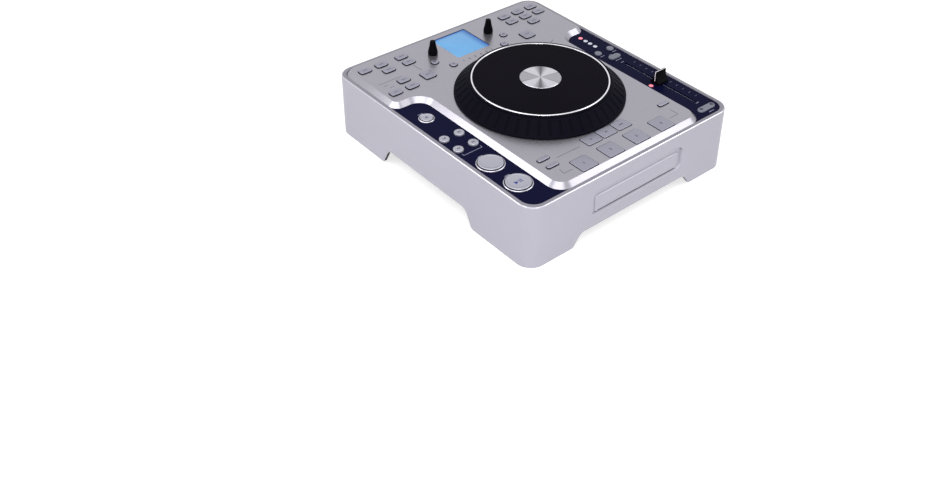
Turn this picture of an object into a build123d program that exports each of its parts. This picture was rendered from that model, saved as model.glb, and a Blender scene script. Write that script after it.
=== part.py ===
from build123d import *
import os
from math import atan2, degrees, hypot

os.makedirs("parts", exist_ok=True)

# A single-deck tabletop disc player.  X runs to the right along the front, Y to the back, Z up.
# The origin is on the resting surface, under the middle of the body.

# ---- body ----
body_corner = 21.0
body_draft = 0.6            # how far each wall leans in from the rim down to the surface
wall = 4.0
rim_top = 84.5
rim_band = 5.5
rim_round = 2.0
skirt_gap = 0.8             # the walls stop this far above the surface
clearance = 0.3             # between pieces that only lie side by side
seat_gap = 0.1              # round a piece that is let into another
slip = 0.4                  # round each slide, door and key of the strips
key_gap = 0.8               # round each key of the control panel

# ---- what sets the width and depth of the body: the wheel and the rows before and behind it ----
jog_radius = 106.0
jog_margin = 12.5           # of the panel either side of the wheel
strip_width = 41.0          # of the dark strips either side of the panel
pad_size = (23.6, 23.6, 1.8)        # width, depth and corner, as for every key
bank_size = (21.6, 16.7, 1.8)
display_width = 53.5
display_depth = 56.0
pad_margin = 13.1           # from the front of the body to the pads
pad_gap = 8.45              # from the pads to the bank keys
bank_gap = 0.65             # from the bank keys to the wheel
display_gap = 20.5          # from the wheel to the display
back_margin = 20.0          # from the display to the back of the body

panel_front_width = 2 * (jog_radius + jog_margin)
body_width = panel_front_width + 2 * (strip_width + rim_band)
rows_before_jog = pad_margin + pad_size[1] + pad_gap + bank_size[1] + bank_gap
rows_behind_jog = display_gap + display_depth + back_margin
body_depth = rows_before_jog + 2 * jog_radius + rows_behind_jog
body_side = body_width / 2
body_back = body_depth / 2
body_front = -body_back
pad_y = body_front + pad_margin + pad_size[1] / 2
bank_y = pad_y + pad_size[1] / 2 + pad_gap + bank_size[1] / 2
jog_y = body_front + rows_before_jog + jog_radius
display_y = body_back - back_margin - display_depth / 2

# ---- levels of the deck, inlays and control panel ----
inlay_top = 83.4
inlay_thickness = 1.8
deck_thickness = 2.4
panel_top = 89.4
panel_thickness = 2.6
panel_bevel = 6.0
board_thickness = 1.6

deck_top = inlay_top - inlay_thickness
deck_bottom = deck_top - deck_thickness
panel_under = panel_top - panel_thickness
recess_width = body_width - 2 * rim_band
recess_depth = body_depth - 2 * rim_band
recess_corner = body_corner - rim_band + 2

# ---- outline of the raised panel: wide at the back, narrow in front ----
panel_front_corner = 21.0
panel_back_depth = 119.0    # of the wide part, from the back of the body
panel_shoulder = body_back - panel_back_depth
panel_neck_round = 18.0
panel_side_round = 13.0
panel_hollow_inset = 5.0    # from the foot of the bevel to the hollow underneath

# ---- skirt arches and feet ----
front_leg_width = 67.0      # of the skirt either side of the front and rear arches
front_arch_top = 16.5
side_leg_width = 99.5       # of the skirt either side of the side arches
side_arch_top = 23.5
arch_lean = 12.0            # how far the ends of an arch lean in
arch_shoulder = 10.0
arch_toe = 4.0
base_bottom = 25.5
base_thickness = 2.0
leg_width = 38.0
leg_depth = 52.0
leg_round = 12.0
leg_inset = 2.0             # from the edge of the base plate
leg_taper = 2.0             # degrees
foot_radius = 11.0
foot_height = 3.0

# ---- disc tray and its door ----
tray_centre = 3.2
tray_recess_width = 147.8
tray_recess_bottom = 33.9
tray_recess_top = 63.8
tray_recess_depth = 2.0
tray_recess_round = 7.0
tray_recess_lean = 25.0     # degrees, of the sides of the recess
door_width = 137.2
door_bottom = 34.9
door_top = 57.9
door_thickness = 5.0
door_proud = 1.2            # out of the floor of the recess
door_round = 2.5
door_bevel = 1.0
tray_width = 131.0
tray_length = 160.0
tray_thickness = 6.0
tray_bottom = 44.0
disc_radius = 60.0
disc_well_depth = 2.0
small_disc_radius = 40.0
small_well_depth = 1.0
disc_slack = 0.5            # round a disc in its well
disc_edge = 7.0             # from the back of the door to the disc well
spindle_opening = 17.0
spindle_slot = 46.0
notch_radius = 9.0
notch_reach = 0.7 * disc_radius     # of the finger notches either way from the middle of the disc
loader_side = 4.0
loader_floor = 2.5
loader_length = 184.0
loader_top = 66.0
turntable_radius = 14.0

# ---- jog wheel ----
jog_lift = 0.5              # above the control panel
jog_height = 20.9           # from the panel to the crown of the bright ring
jog_rim_height = 1.6
jog_grip_run = 16.5         # sideways, from the rim to the head of the sloping grip
jog_grip_drop = 3.8         # of the head of the grip below the crown
jog_foot = (1.6, 2.4)       # of the grip, in from the rim and up from the bottom
jog_ledge_run = 17.8        # sideways, from the rim to the ledge round the bright ring
jog_ledge_drop = 0.5        # of the crest of the ledge below the crown
jog_seat_run = 20.6         # sideways, from the rim to the bright ring
jog_ring_width = 2.2
jog_ring_round = 1.0
jog_plate_drop = 1.2        # of the black plate below the crown
jog_plate_thickness = 3.0
jog_wall = 2.6
jog_grooves = 48
jog_groove_radius = 1.7
jog_groove_centre = 0.5     # above the slope of the grip
jog_groove_ends = 3.0       # that the grooves leave free on the slope
jog_groove_start = 2.0      # degrees
jog_cap_radius = 25.7
jog_cap_height = 1.4
jog_cap_edge = 0.8
spindle_radius = 5.0
spindle_fit = 0.06
bearing_radius = 22.0
bearing_flange = 2.6
bearing_boss = 10.0
bearing_rise = 3.0          # of the boss above the panel

jog_seat_radius = jog_radius - jog_seat_run
jog_ring_inner = jog_seat_radius - jog_ring_width

# ---- display and the two knobs beside it ----
display_sunk = 0.6
display_corner = 2.0
display_ledge = 1.5         # that carries the window
window_thickness = 1.5
knob_gap = 19.75            # from the display to the middle of a knob
knob_base_radius = 6.4
knob_neck_radius = 4.0
knob_top_radius = 3.4
knob_height = 19.3
knob_skirt = 4.6
knob_neck = 12.6            # height of the neck above the foot
knob_foot_edge = 0.8
knob_crown_edge = 0.7
knob_shaft = 3.0
knob_shaft_reach = 1.4      # below the panel
knob_x = display_width / 2 + knob_gap

# ---- keys ----
key_bevel = 0.7
key_flange = 0.6            # sideways, under the edge of its hole
flange_thickness = 1.4
key_size = (16.7, 10.8, 3.6)
big_key_size = (17.2, 17.7, 3.6)
pill_size = (16.7, 5.6, 2.6)
key_rise = 1.7
pad_rise = 0.9
round_key = 4.9
skip_key = 6.3
eject_key = 7.8
start_key = 15.0
bezel = 1.6                 # width of the bright ring round the large keys
bezel_rise = 1.6
start_rise = 3.2
eject_rise = 2.6
skip_rise = 2.2

left_columns = (26.0, 50.7, 82.0)   # from the left side of the body
right_columns = (74.0, 49.7, 26.0)  # from the right side
key_rows = (29.0, 45.5, 62.5, 76.8, 94.5)   # from the back of the body
big_key_row = 85.5
display_key_out = (30.75, 15.65)    # sideways from the display
display_key_rows = (66.5, 85.9)
pad_pitch = 42.4
bank_pitch = 24.6
loop_column = 24.5          # from the left side of the narrow part of the panel
loop_rows = (59.4, 44.0)    # from the front of the body
reloop_column = 21.1
reloop_row = 52.8

left_x = [inset - body_side for inset in left_columns]
right_x = [body_side - inset for inset in right_columns]
row_y = [body_back - inset for inset in key_rows]
big_key_y = body_back - big_key_row

# ---- left strip: eject, search and track, cue and play ----
strip_middle = 19.7         # from the rim to the middle of the strip
strip_x = body_side - rim_band - strip_middle
eject_y = body_back - 156.5
skip_pitch = (22.0, 26.0)
skip_y = body_front + 153.5
cue_y = body_front + 96.5
play_y = body_front + 49.3

# ---- right strip: lamps, range keys, tempo fader and bend rocker ----
lamp_radius = 3.0
lamp_rise = 0.5
lamp_rows = (11.1, 20.7, 29.4, 39.0)    # from the shoulder of the panel
centre_lamp_out = 14.8      # sideways from the fader
range_key_row = 55.7
range_key_half_pitch = 11.0
hold_key_row = 75.0
hold_key_size = (18.6, 8.8)
bend_row = 19.9             # from the front of the body
slot_from_hold_key = 19.2   # end of the fader's slot to the middle of the key
slot_from_rocker = 17.7
fader_slot_width = 3.2
fader_cap_size = (17.7, 13.7)
fader_cap_height = 17.0
fader_stem = (2.2, 7.0)
fader_body_width = 16.0
fader_body_height = 12.0
fader_body_ends = 5.0       # past the slot at each end
fader_body_floor = 2.0
fader_stem_gap = 1.0        # from the stem down to that floor
fader_ridge = 1.5
fader_foot = 3.0
fader_waist = (2.66, 0.52)  # half width, and share of its height
bend_size = (27.5, 8.8)
bend_slip = 0.7
bend_pin_radius = 1.2
bend_pin_drop = 2.0         # of the pivot under the deck
bend_lug = 2.4              # thickness of the lugs that hold the pivot
bend_lug_height = 4.2
dimple_radius = 6.0
dimple_depth = 0.6
pin_fit = 0.06
lamp_y = [panel_shoulder - inset for inset in lamp_rows]
range_key_y = panel_shoulder - range_key_row
hold_key_y = panel_shoulder - hold_key_row
bend_y = body_front + bend_row
fader_back_end = hold_key_y - slot_from_hold_key
fader_front_end = bend_y + slot_from_rocker
fader_slot_length = fader_back_end - fader_front_end
fader_y = (fader_back_end + fader_front_end) / 2
centre_lamp_x = strip_x - centre_lamp_out

# ---- rear pocket and what is in it ----
pocket_width = 230.0
pocket_bottom = 34.0
pocket_top = 62.0
pocket_depth = 12.0
pocket_wall = 3.0
socket_z = 48.0
socket_sleeve = 4.15
socket_length = 9.0
socket_bore = 1.6
socket_nut = 5.6
socket_nut_length = 1.2
audio_x = (62.0, 80.0, 98.0)
remote_x = 40.0
remote_radius = 4.0
remote_bore = 1.75
remote_length = 2.0
inlet_x = -94.0
inlet_size = (22.0, 12.0)
inlet_flange = 3.0
inlet_mouth = (17.5, 8.6)
inlet_mouth_depth = 9.0
inlet_body_depth = 14.0
inlet_pin_radius = 1.2
inlet_pin_x = 4.3
inlet_pin_length = 7.0
switch_x = -58.0
switch_body = (21.0, 15.0)
switch_flange = 2.0
switch_paddle = (17.0, 10.6)
switch_flange_rise = 1.6
switch_body_depth = 12.0
switch_cavity_depth = 8.0
switch_pin_radius = 1.2
switch_swing = 7.0          # degrees either way


def wall_y(z):
    """Half depth of the outer wall at a height."""
    return body_depth / 2 - body_draft * (1 - z / rim_top)


def save(piece, name):
    piece.part.label = name
    export_step(piece.part, f"parts/{name}.step")


# ---- where every key goes: name, place and shape ----
plateau_keys = [
    ("left_key_1", left_x[0], row_y[0], key_size, key_rise),
    ("left_key_2", left_x[1], row_y[0], key_size, key_rise),
    ("left_key_3", left_x[2], row_y[0], key_size, key_rise),
    ("left_key_4", left_x[1], row_y[1], key_size, key_rise),
    ("left_key_5", left_x[2], row_y[1], key_size, key_rise),
    ("left_key_6", left_x[1], row_y[3], key_size, key_rise),
    ("left_key_7", left_x[0], row_y[4], key_size, key_rise),
    ("left_key_8", left_x[1], row_y[4], key_size, key_rise),
    ("left_big_key", left_x[2], big_key_y, big_key_size, key_rise),
    ("right_key_1", right_x[0], row_y[0], key_size, key_rise),
    ("right_key_2", right_x[1], row_y[0], key_size, key_rise),
    ("right_key_3", right_x[2], row_y[0], key_size, key_rise),
    ("right_key_4", right_x[0], row_y[1], key_size, key_rise),
    ("right_key_5", right_x[1], row_y[1], key_size, key_rise),
    ("right_key_6", right_x[2], row_y[1], key_size, key_rise),
    ("right_key_7", right_x[1], row_y[2], key_size, key_rise),
    ("right_big_key", -left_x[2], big_key_y, big_key_size, key_rise),
    ("loop_in_key", loop_column - panel_front_width / 2, body_front + loop_rows[0], pill_size, key_rise),
    ("loop_out_key", loop_column - panel_front_width / 2, body_front + loop_rows[1], pill_size, key_rise),
    ("reloop_key", panel_front_width / 2 - reloop_column, body_front + reloop_row, pill_size, key_rise),
]
plateau_keys += [(f"bank_key_{i + 1}", (i - 1) * bank_pitch, bank_y, bank_size, pad_rise) for i in range(3)]
plateau_keys += [(f"pad_{i + 1}", (i - 1.5) * pad_pitch, pad_y, pad_size, pad_rise) for i in range(4)]

display_key_x = [display_width / 2 + out for out in display_key_out]
display_key_y = [body_back - inset for inset in display_key_rows]
round_keys = [
    ("display_key_1", -display_key_x[0], display_key_y[0]),
    ("display_key_2", -display_key_x[1], display_key_y[1]),
    ("display_key_3", display_key_x[1], display_key_y[1]),
    ("display_key_4", display_key_x[0], display_key_y[0]),
]

strip_keys = [
    ("eject_key", -strip_x, eject_y, eject_key, eject_rise),
    ("search_back_key", -strip_x - skip_pitch[0] / 2, skip_y - skip_pitch[1] / 2, skip_key, skip_rise),
    ("search_forward_key", -strip_x + skip_pitch[0] / 2, skip_y - skip_pitch[1] / 2, skip_key, skip_rise),
    ("track_back_key", -strip_x - skip_pitch[0] / 2, skip_y + skip_pitch[1] / 2, skip_key, skip_rise),
    ("track_forward_key", -strip_x + skip_pitch[0] / 2, skip_y + skip_pitch[1] / 2, skip_key, skip_rise),
    ("cue_key", -strip_x, cue_y, start_key, start_rise),
    ("play_key", -strip_x, play_y, start_key, start_rise),
    ("range_key", strip_x - range_key_half_pitch, range_key_y, round_key, key_rise),
    ("tempo_key", strip_x + range_key_half_pitch, range_key_y, round_key, key_rise),
]
bezel_keys = [key for key in strip_keys if key[0] in ("eject_key", "cue_key", "play_key")]


def panel_outline(grow=0.0):
    """Foot of the raised panel, in the sketch that is open."""
    back_half = recess_width / 2 - clearance
    back_y = recess_depth / 2 - clearance
    front_half = panel_front_width / 2
    with BuildSketch(mode=Mode.PRIVATE) as outline:
        with BuildLine():
            Polyline(
                (-back_half, back_y), (back_half, back_y), (back_half, panel_shoulder),
                (front_half, panel_shoulder), (front_half, -back_y), (-front_half, -back_y),
                (-front_half, panel_shoulder), (-back_half, panel_shoulder), close=True,
            )
        make_face()
        for corner, radius in (
            ((back_half, back_y), recess_corner - clearance),
            ((back_half, panel_shoulder), panel_side_round),
            ((front_half, panel_shoulder), panel_neck_round),
            ((front_half, -back_y), panel_front_corner),
        ):
            at_corner = [v for v in outline.vertices() if abs(abs(v.X) - corner[0]) + abs(v.Y - corner[1]) < 0.1]
            fillet(at_corner, radius)
        if grow:
            offset(amount=grow, kind=Kind.ARC)
    return outline.sketch


def key_shape(x, y, size, grow=0.0):
    """Rounded outline of a key with size (width, depth, corner), in the sketch that is open."""
    with Locations((x, y)):
        RectangleRounded(size[0] + 2 * grow, size[1] + 2 * grow, size[2] + grow)


def pill_shape(x, y, size, grow=0.0):
    """Outline with round ends, in the sketch that is open."""
    with Locations((x, y)):
        SlotOverall(size[0] + 2 * grow, size[1] + 2 * grow)


def round_shape(x, y, radius, grow=0.0):
    with Locations((x, y)):
        Circle(radius + grow)


def strip_holes():
    """Holes that the inlay and the deck share, in the sketch that is open."""
    for _, x, y, radius, _ in strip_keys:
        round_shape(x, y, radius, slip)
    pill_shape(strip_x, hold_key_y, hold_key_size, slip)
    pill_shape(strip_x, bend_y, bend_size, bend_slip)
    with Locations((strip_x, fader_y)):
        SlotOverall(fader_slot_length, fader_slot_width, rotation=90)


# ---- housing: drafted tub with a deck, skirt arches, tray front and rear pocket ----
draft_angle = degrees(atan2(body_draft, rim_top))
base_top = base_bottom + base_thickness
recess_floor_y = -(wall_y(tray_recess_bottom) - tray_recess_depth)
pocket_floor_y = wall_y(pocket_bottom) - pocket_depth
door_height = door_top - door_bottom
door_z = (door_top + door_bottom) / 2
boss_radius = 5.0
front_boss = (strip_x - 34.8, body_front + 17.5)
back_boss = (body_side - 17.0, body_back - 19.5)
boss_places = [(side * x, y) for side in (-1, 1) for x, y in (front_boss, back_boss)]
post_radius = 3.0
side_board_drop = 5.7       # under the deck
side_board_top = deck_bottom - side_board_drop
side_board_front = body_front + 12.5
side_board_back = panel_shoulder - 7.5
post_y = ((cue_y + play_y) / 2, side_board_back - 9.0)
side_board_posts = [(side * (strip_x + out), y) for side in (-1, 1) for out in (-14.0, 14.0) for y in post_y]
front_arch_half = body_side - front_leg_width
side_arch_half = body_back - side_leg_width
bend_pin_z = deck_bottom - bend_pin_drop

with BuildPart() as housing:
    with BuildSketch(Plane.XY.offset(rim_top)):
        RectangleRounded(body_width, body_depth, body_corner)
    extrude(amount=skirt_gap - rim_top, taper=draft_angle)
    fillet(housing.faces().sort_by(Axis.Z)[-1].edges(), rim_round)
    # recess for the inlays and the control panel
    with BuildSketch(Plane.XY.offset(deck_top)):
        RectangleRounded(recess_width, recess_depth, recess_corner)
    extrude(amount=rim_top, mode=Mode.SUBTRACT)
    # the room inside
    with BuildSketch(Plane.XY.offset(deck_bottom)):
        RectangleRounded(body_width - 2 * wall, body_depth - 2 * wall, body_corner - wall)
    extrude(amount=-deck_bottom, taper=draft_angle, mode=Mode.SUBTRACT)
    # arches with leaning ends, round shoulders and round toes
    for plane, half, top in (
        (Plane.XZ, front_arch_half, front_arch_top),
        (Plane.YZ, side_arch_half, side_arch_top),
    ):
        with BuildSketch(plane) as arch:
            with BuildLine():
                Polyline(
                    (-half - arch_lean, -1), (-half - arch_lean, skirt_gap), (-half, skirt_gap),
                    (-half + arch_lean, top), (half - arch_lean, top), (half, skirt_gap),
                    (half + arch_lean, skirt_gap), (half + arch_lean, -1), close=True,
                )
            make_face()
            fillet([v for v in arch.vertices() if abs(v.Y - top) < 0.1], arch_shoulder)
            fillet([v for v in arch.vertices() if abs(abs(v.X) - half) < 0.1], arch_toe)
        extrude(amount=body_depth, both=True, mode=Mode.SUBTRACT)
    # shallow recess with leaning sides round the tray, and the slot that the door fills
    with BuildSketch(Plane.XZ.offset(-recess_floor_y)):
        with Locations((tray_centre, (tray_recess_bottom + tray_recess_top) / 2)):
            RectangleRounded(tray_recess_width, tray_recess_top - tray_recess_bottom, tray_recess_round)
    extrude(amount=tray_recess_depth * 2, taper=-tray_recess_lean, mode=Mode.SUBTRACT)
    with BuildSketch(Plane.XZ.offset(-recess_floor_y)):
        with Locations((tray_centre, door_z)):
            RectangleRounded(door_width + 2 * slip, door_height + 2 * slip, door_round + slip)
    extrude(amount=wall, both=True, mode=Mode.SUBTRACT)
    # pocket for the sockets in the rear wall
    with BuildSketch(Plane.XZ.offset(-(pocket_floor_y - pocket_wall))):
        with Locations((0, (pocket_bottom + pocket_top) / 2)):
            Rectangle(pocket_width + 2 * pocket_wall, pocket_top - pocket_bottom + 2 * pocket_wall)
    extrude(amount=-(pocket_depth + pocket_wall - wall / 2))
    with BuildSketch(Plane.XZ.offset(-pocket_floor_y)):
        with Locations((0, (pocket_bottom + pocket_top) / 2)):
            RectangleRounded(pocket_width, pocket_top - pocket_bottom, pocket_wall)
    extrude(amount=-pocket_depth * 2, mode=Mode.SUBTRACT)
    with BuildSketch(Plane.XZ.offset(-(pocket_floor_y - pocket_wall))):
        for x in audio_x:
            round_shape(x, socket_z, socket_sleeve, clearance)
        round_shape(remote_x, socket_z, remote_radius, clearance)
        with Locations((inlet_x, socket_z)):
            Rectangle(inlet_size[0] + 2 * clearance, inlet_size[1] + 2 * clearance)
        with Locations((switch_x, socket_z)):
            Rectangle(switch_body[0] + 2 * clearance, switch_body[1] + 2 * clearance)
    extrude(amount=-pocket_wall, mode=Mode.SUBTRACT)
    # holes for the keys and the fader in the strips
    with BuildSketch(Plane.XY.offset(deck_top)):
        strip_holes()
    extrude(amount=-deck_thickness, mode=Mode.SUBTRACT)
    # bosses for the base plate, posts for the side boards, lugs for the bend rocker
    with BuildSketch(Plane.XY.offset(base_top)):
        with Locations(*boss_places):
            Circle(boss_radius)
    extrude(amount=deck_bottom - base_top)
    with BuildSketch(Plane.XY.offset(side_board_top)):
        with Locations(*side_board_posts):
            Circle(post_radius)
    extrude(amount=deck_bottom - side_board_top)
    with BuildSketch(Plane.XY.offset(deck_bottom)):
        for side in (-1, 1):
            with Locations((strip_x, bend_y + side * (bend_size[1] / 2 + bend_slip + bend_lug / 2))):
                Rectangle(3 * bend_lug, bend_lug)
    extrude(amount=-bend_lug_height)
    with BuildSketch(Plane.XZ.offset(-bend_y)):
        round_shape(strip_x, bend_pin_z, bend_pin_radius, pin_fit)
    extrude(amount=bend_size[1], both=True, mode=Mode.SUBTRACT)
save(housing, "housing")

# ---- base plate with four leg blocks that stand in the corners of the skirt ----
inner_half_width = body_width / 2 - wall - body_draft * (1 - base_bottom / rim_top) - clearance
inner_half_depth = body_depth / 2 - wall - body_draft * (1 - base_bottom / rim_top) - clearance
leg_x = inner_half_width - leg_inset - leg_width / 2
leg_y = inner_half_depth - leg_inset - leg_depth / 2
leg_places = [(sx * leg_x, sy * leg_y) for sx in (-1, 1) for sy in (-1, 1)]
main_board_lift = 4.0
main_board_bottom = base_top + main_board_lift
door_front_y = recess_floor_y - door_proud
door_back_y = door_front_y + door_thickness
loader_front_y = door_back_y + clearance
main_board_width = 216.0
main_board_front = loader_front_y + loader_length + 14.2
main_board_back = pocket_floor_y - pocket_wall - inlet_body_depth - 5.3
post_inset = 8.0            # of the posts from the edges of the main board
board_posts = [
    (side * (main_board_width / 2 - post_inset), y)
    for side in (-1, 1) for y in (main_board_front + post_inset, main_board_back - post_inset)
]

with BuildPart() as base_plate:
    with BuildSketch(Plane.XY.offset(base_bottom)):
        RectangleRounded(2 * inner_half_width, 2 * inner_half_depth, body_corner - wall)
    extrude(amount=base_thickness)
    with BuildSketch(Plane.XY.offset(base_bottom)):
        with Locations(*leg_places):
            RectangleRounded(leg_width, leg_depth, leg_round)
    extrude(amount=foot_height - base_bottom, taper=leg_taper)
    with BuildSketch(Plane.XY.offset(base_top)):
        with Locations(*board_posts):
            Circle(post_radius)
    extrude(amount=main_board_bottom - base_top)
save(base_plate, "base_plate")

with BuildPart() as rubber_feet:
    with BuildSketch(Plane.XY):
        with Locations(*leg_places):
            Circle(foot_radius)
    extrude(amount=foot_height)
    chamfer(rubber_feet.edges().group_by(Axis.Z)[0], foot_height / 4)
save(rubber_feet, "rubber_feet")

# ---- control panel: one moulded plate, bevelled all round, hollow underneath ----
with BuildPart() as control_panel:
    with BuildSketch(Plane.XY.offset(deck_top)):
        add(panel_outline())
    extrude(amount=panel_top - deck_top)
    chamfer(control_panel.faces().sort_by(Axis.Z)[-1].outer_wire().edges(), panel_bevel)
    with BuildSketch(Plane.XY.offset(deck_top)):
        add(panel_outline(-panel_hollow_inset))
    extrude(amount=panel_under - deck_top, mode=Mode.SUBTRACT)
    with BuildSketch(Plane.XY.offset(panel_top)):
        for _, x, y, size, _ in plateau_keys:
            key_shape(x, y, size, key_gap)
        for _, x, y in round_keys:
            round_shape(x, y, round_key, key_gap)
        for side in (-1, 1):
            round_shape(side * knob_x, display_y, knob_shaft, slip)
        round_shape(0, jog_y, bearing_boss, clearance)
        with Locations((0, display_y)):
            RectangleRounded(display_width - 2 * display_ledge, display_depth - 2 * display_ledge, display_corner / 2)
    extrude(amount=-panel_thickness, mode=Mode.SUBTRACT)
    with BuildSketch(Plane.XY.offset(panel_top)):
        with Locations((0, display_y)):
            RectangleRounded(display_width, display_depth, display_corner)
    extrude(amount=-(display_sunk + window_thickness), mode=Mode.SUBTRACT)
save(control_panel, "control_panel")

# ---- dark inlays either side, with the bright bezels of the large keys ----
with BuildPart() as side_inlays:
    with BuildSketch(Plane.XY.offset(deck_top)):
        RectangleRounded(recess_width - 2 * clearance, recess_depth - 2 * clearance, recess_corner - clearance)
        add(panel_outline(clearance), mode=Mode.SUBTRACT)
        strip_y = panel_shoulder + panel_side_round
        with Locations((0, strip_y)):
            Rectangle(body_width, body_depth, align=(Align.CENTER, Align.MAX), mode=Mode.INTERSECT)
        with BuildSketch(mode=Mode.PRIVATE) as openings:
            strip_holes()
            for _, x, y, radius, _ in bezel_keys:
                round_shape(x, y, radius, slip + bezel + seat_gap)
            for y in lamp_y:
                round_shape(strip_x, y, lamp_radius)
            round_shape(centre_lamp_x, fader_y, lamp_radius)
        add(openings.sketch, mode=Mode.SUBTRACT)
    extrude(amount=inlay_thickness)
    with BuildSketch(Plane.XY.offset(deck_top)):
        for _, x, y, radius, _ in bezel_keys:
            with Locations((x, y)):
                Circle(radius + slip + bezel)
                Circle(radius + slip, mode=Mode.SUBTRACT)
    extrude(amount=inlay_thickness + bezel_rise)
    bezel_crowns = side_inlays.edges().group_by(Axis.Z)[-1]
    chamfer(bezel_crowns, bezel / 4)
save(side_inlays, "side_inlays")

# ---- display window and the lenses of the lamps ----
with BuildPart() as display_and_lenses:
    with BuildSketch(Plane.XY.offset(panel_top - display_sunk)):
        with Locations((0, display_y)):
            RectangleRounded(
                display_width - 2 * seat_gap, display_depth - 2 * seat_gap, display_corner - seat_gap,
            )
    extrude(amount=-window_thickness)
    with BuildSketch(Plane.XY.offset(deck_top)):
        for y in lamp_y:
            round_shape(strip_x, y, lamp_radius, -seat_gap)
        round_shape(centre_lamp_x, fader_y, lamp_radius, -seat_gap)
    extrude(amount=inlay_thickness + lamp_rise)
    chamfer(display_and_lenses.edges().filter_by(GeomType.CIRCLE).group_by(Axis.Z)[1], lamp_rise)
save(display_and_lenses, "display_and_lenses")


# ---- keys: a cap that stands out of its hole and a flange that holds it under the plate ----
def build_key(name, shape, x, y, size, surface, under, rise, gap):
    with BuildPart() as key:
        flange_bottom = under - clearance - flange_thickness
        with BuildSketch(Plane.XY.offset(flange_bottom)):
            shape(x, y, size, gap + key_flange)
        extrude(amount=flange_thickness)
        with BuildSketch(Plane.XY.offset(flange_bottom)):
            shape(x, y, size)
        extrude(amount=surface + rise - flange_bottom)
        chamfer(key.edges().group_by(Axis.Z)[-1], key_bevel)
    save(key, name)


for name, x, y, size, rise in plateau_keys:
    build_key(name, key_shape, x, y, size, panel_top, panel_under, rise, key_gap)
for name, x, y in round_keys:
    build_key(name, round_shape, x, y, round_key, panel_top, panel_under, key_rise, key_gap)
for name, x, y, radius, rise in strip_keys:
    build_key(name, round_shape, x, y, radius, inlay_top, deck_bottom, rise, slip)
build_key("hold_key", pill_shape, strip_x, hold_key_y, hold_key_size, inlay_top, deck_bottom, key_rise, slip)

# ---- bend rocker: a long key with a thumb dimple at each end, on a pin across its middle ----
with BuildPart() as bend_rocker:
    rocker_bottom = deck_bottom - bend_lug_height
    with BuildSketch(Plane.XY.offset(rocker_bottom)):
        pill_shape(strip_x, bend_y, bend_size)
    extrude(amount=inlay_top + key_rise - rocker_bottom)
    chamfer(bend_rocker.edges().group_by(Axis.Z)[-1], key_bevel)
    dimple_x = bend_size[0] / 2 - bend_size[1] / 2
    dimple_z = inlay_top + key_rise + dimple_radius - dimple_depth
    with Locations((strip_x - dimple_x, bend_y, dimple_z), (strip_x + dimple_x, bend_y, dimple_z)):
        Sphere(dimple_radius, mode=Mode.SUBTRACT)
    with BuildSketch(Plane.XZ.offset(-bend_y)):
        round_shape(strip_x, bend_pin_z, bend_pin_radius)
    extrude(amount=bend_size[1] / 2 + bend_slip + bend_lug, both=True)
save(bend_rocker, "bend_rocker")

# ---- knobs: bottle-shaped caps on a shaft ----
for name, side in (("left_knob", -1), ("right_knob", 1)):
    with BuildPart() as knob:
        bottom = panel_top + clearance
        with BuildSketch(Plane.XZ.offset(-display_y)):
            with BuildLine():
                skirt = (knob_base_radius, bottom + knob_skirt)
                neck = (knob_neck_radius, bottom + knob_neck)
                crown = (knob_top_radius, bottom + knob_height)
                waist = ((skirt[0] + neck[0]) / 2 - knob_foot_edge / 4, (skirt[1] + neck[1]) / 2)
                Polyline((0, bottom), (knob_base_radius, bottom), skirt)
                ThreePointArc(skirt, waist, neck)
                Polyline(neck, crown, (0, bottom + knob_height), (0, bottom))
            make_face()
        revolve(axis=Axis((0, display_y, 0), (0, 0, 1)))
        chamfer(knob.edges().group_by(Axis.Z)[-1], knob_crown_edge)
        chamfer(knob.edges().group_by(Axis.Z)[0], knob_foot_edge)
        with BuildSketch(Plane.XY.offset(bottom)):
            round_shape(0, display_y, knob_shaft)
        extrude(amount=-(panel_thickness + clearance + knob_shaft_reach))
    knob.part = knob.part.translate((side * knob_x, 0, 0))
    save(knob, name)

# ---- jog bearing: a flange under the panel, a boss through it and the fixed spindle ----
jog_bottom = panel_top + jog_lift
jog_crown = panel_top + jog_height
jog_plate_top = jog_crown - jog_plate_drop
jog_plate_bottom = jog_plate_top - jog_plate_thickness
boss_top = panel_top + bearing_rise
axis_jog = Axis((0, jog_y, 0), (0, 0, 1))

with BuildPart() as jog_bearing:
    with BuildSketch(Plane.XY.offset(panel_under)):
        round_shape(0, jog_y, bearing_radius)
    extrude(amount=-bearing_flange)
    with BuildSketch(Plane.XY.offset(panel_under)):
        round_shape(0, jog_y, bearing_boss)
    extrude(amount=boss_top - panel_under)
    with BuildSketch(Plane.XY.offset(boss_top)):
        round_shape(0, jog_y, spindle_radius)
    extrude(amount=jog_plate_bottom - clearance - boss_top)
save(jog_bearing, "jog_bearing")

# ---- jog wheel: hollow turned body whose sloping grip has a ring of finger grooves ----
bore = spindle_radius + spindle_fit
hub = 2 * bore
grip_foot = (jog_radius - jog_foot[0], jog_bottom + jog_foot[1])
grip_head = (jog_radius - jog_grip_run, jog_crown - jog_grip_drop)
ledge_radius = jog_radius - jog_ledge_run
ledge_side = jog_crown - jog_ledge_drop - jog_ring_round / 2
ledge_foot = grip_head[1] + (grip_head[0] - ledge_radius) / 2
hollow_top = jog_plate_bottom - jog_wall
grip_length = hypot(grip_foot[0] - grip_head[0], grip_foot[1] - grip_head[1])
slope_x = (grip_foot[0] - grip_head[0]) / grip_length
slope_z = (grip_foot[1] - grip_head[1]) / grip_length

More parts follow.
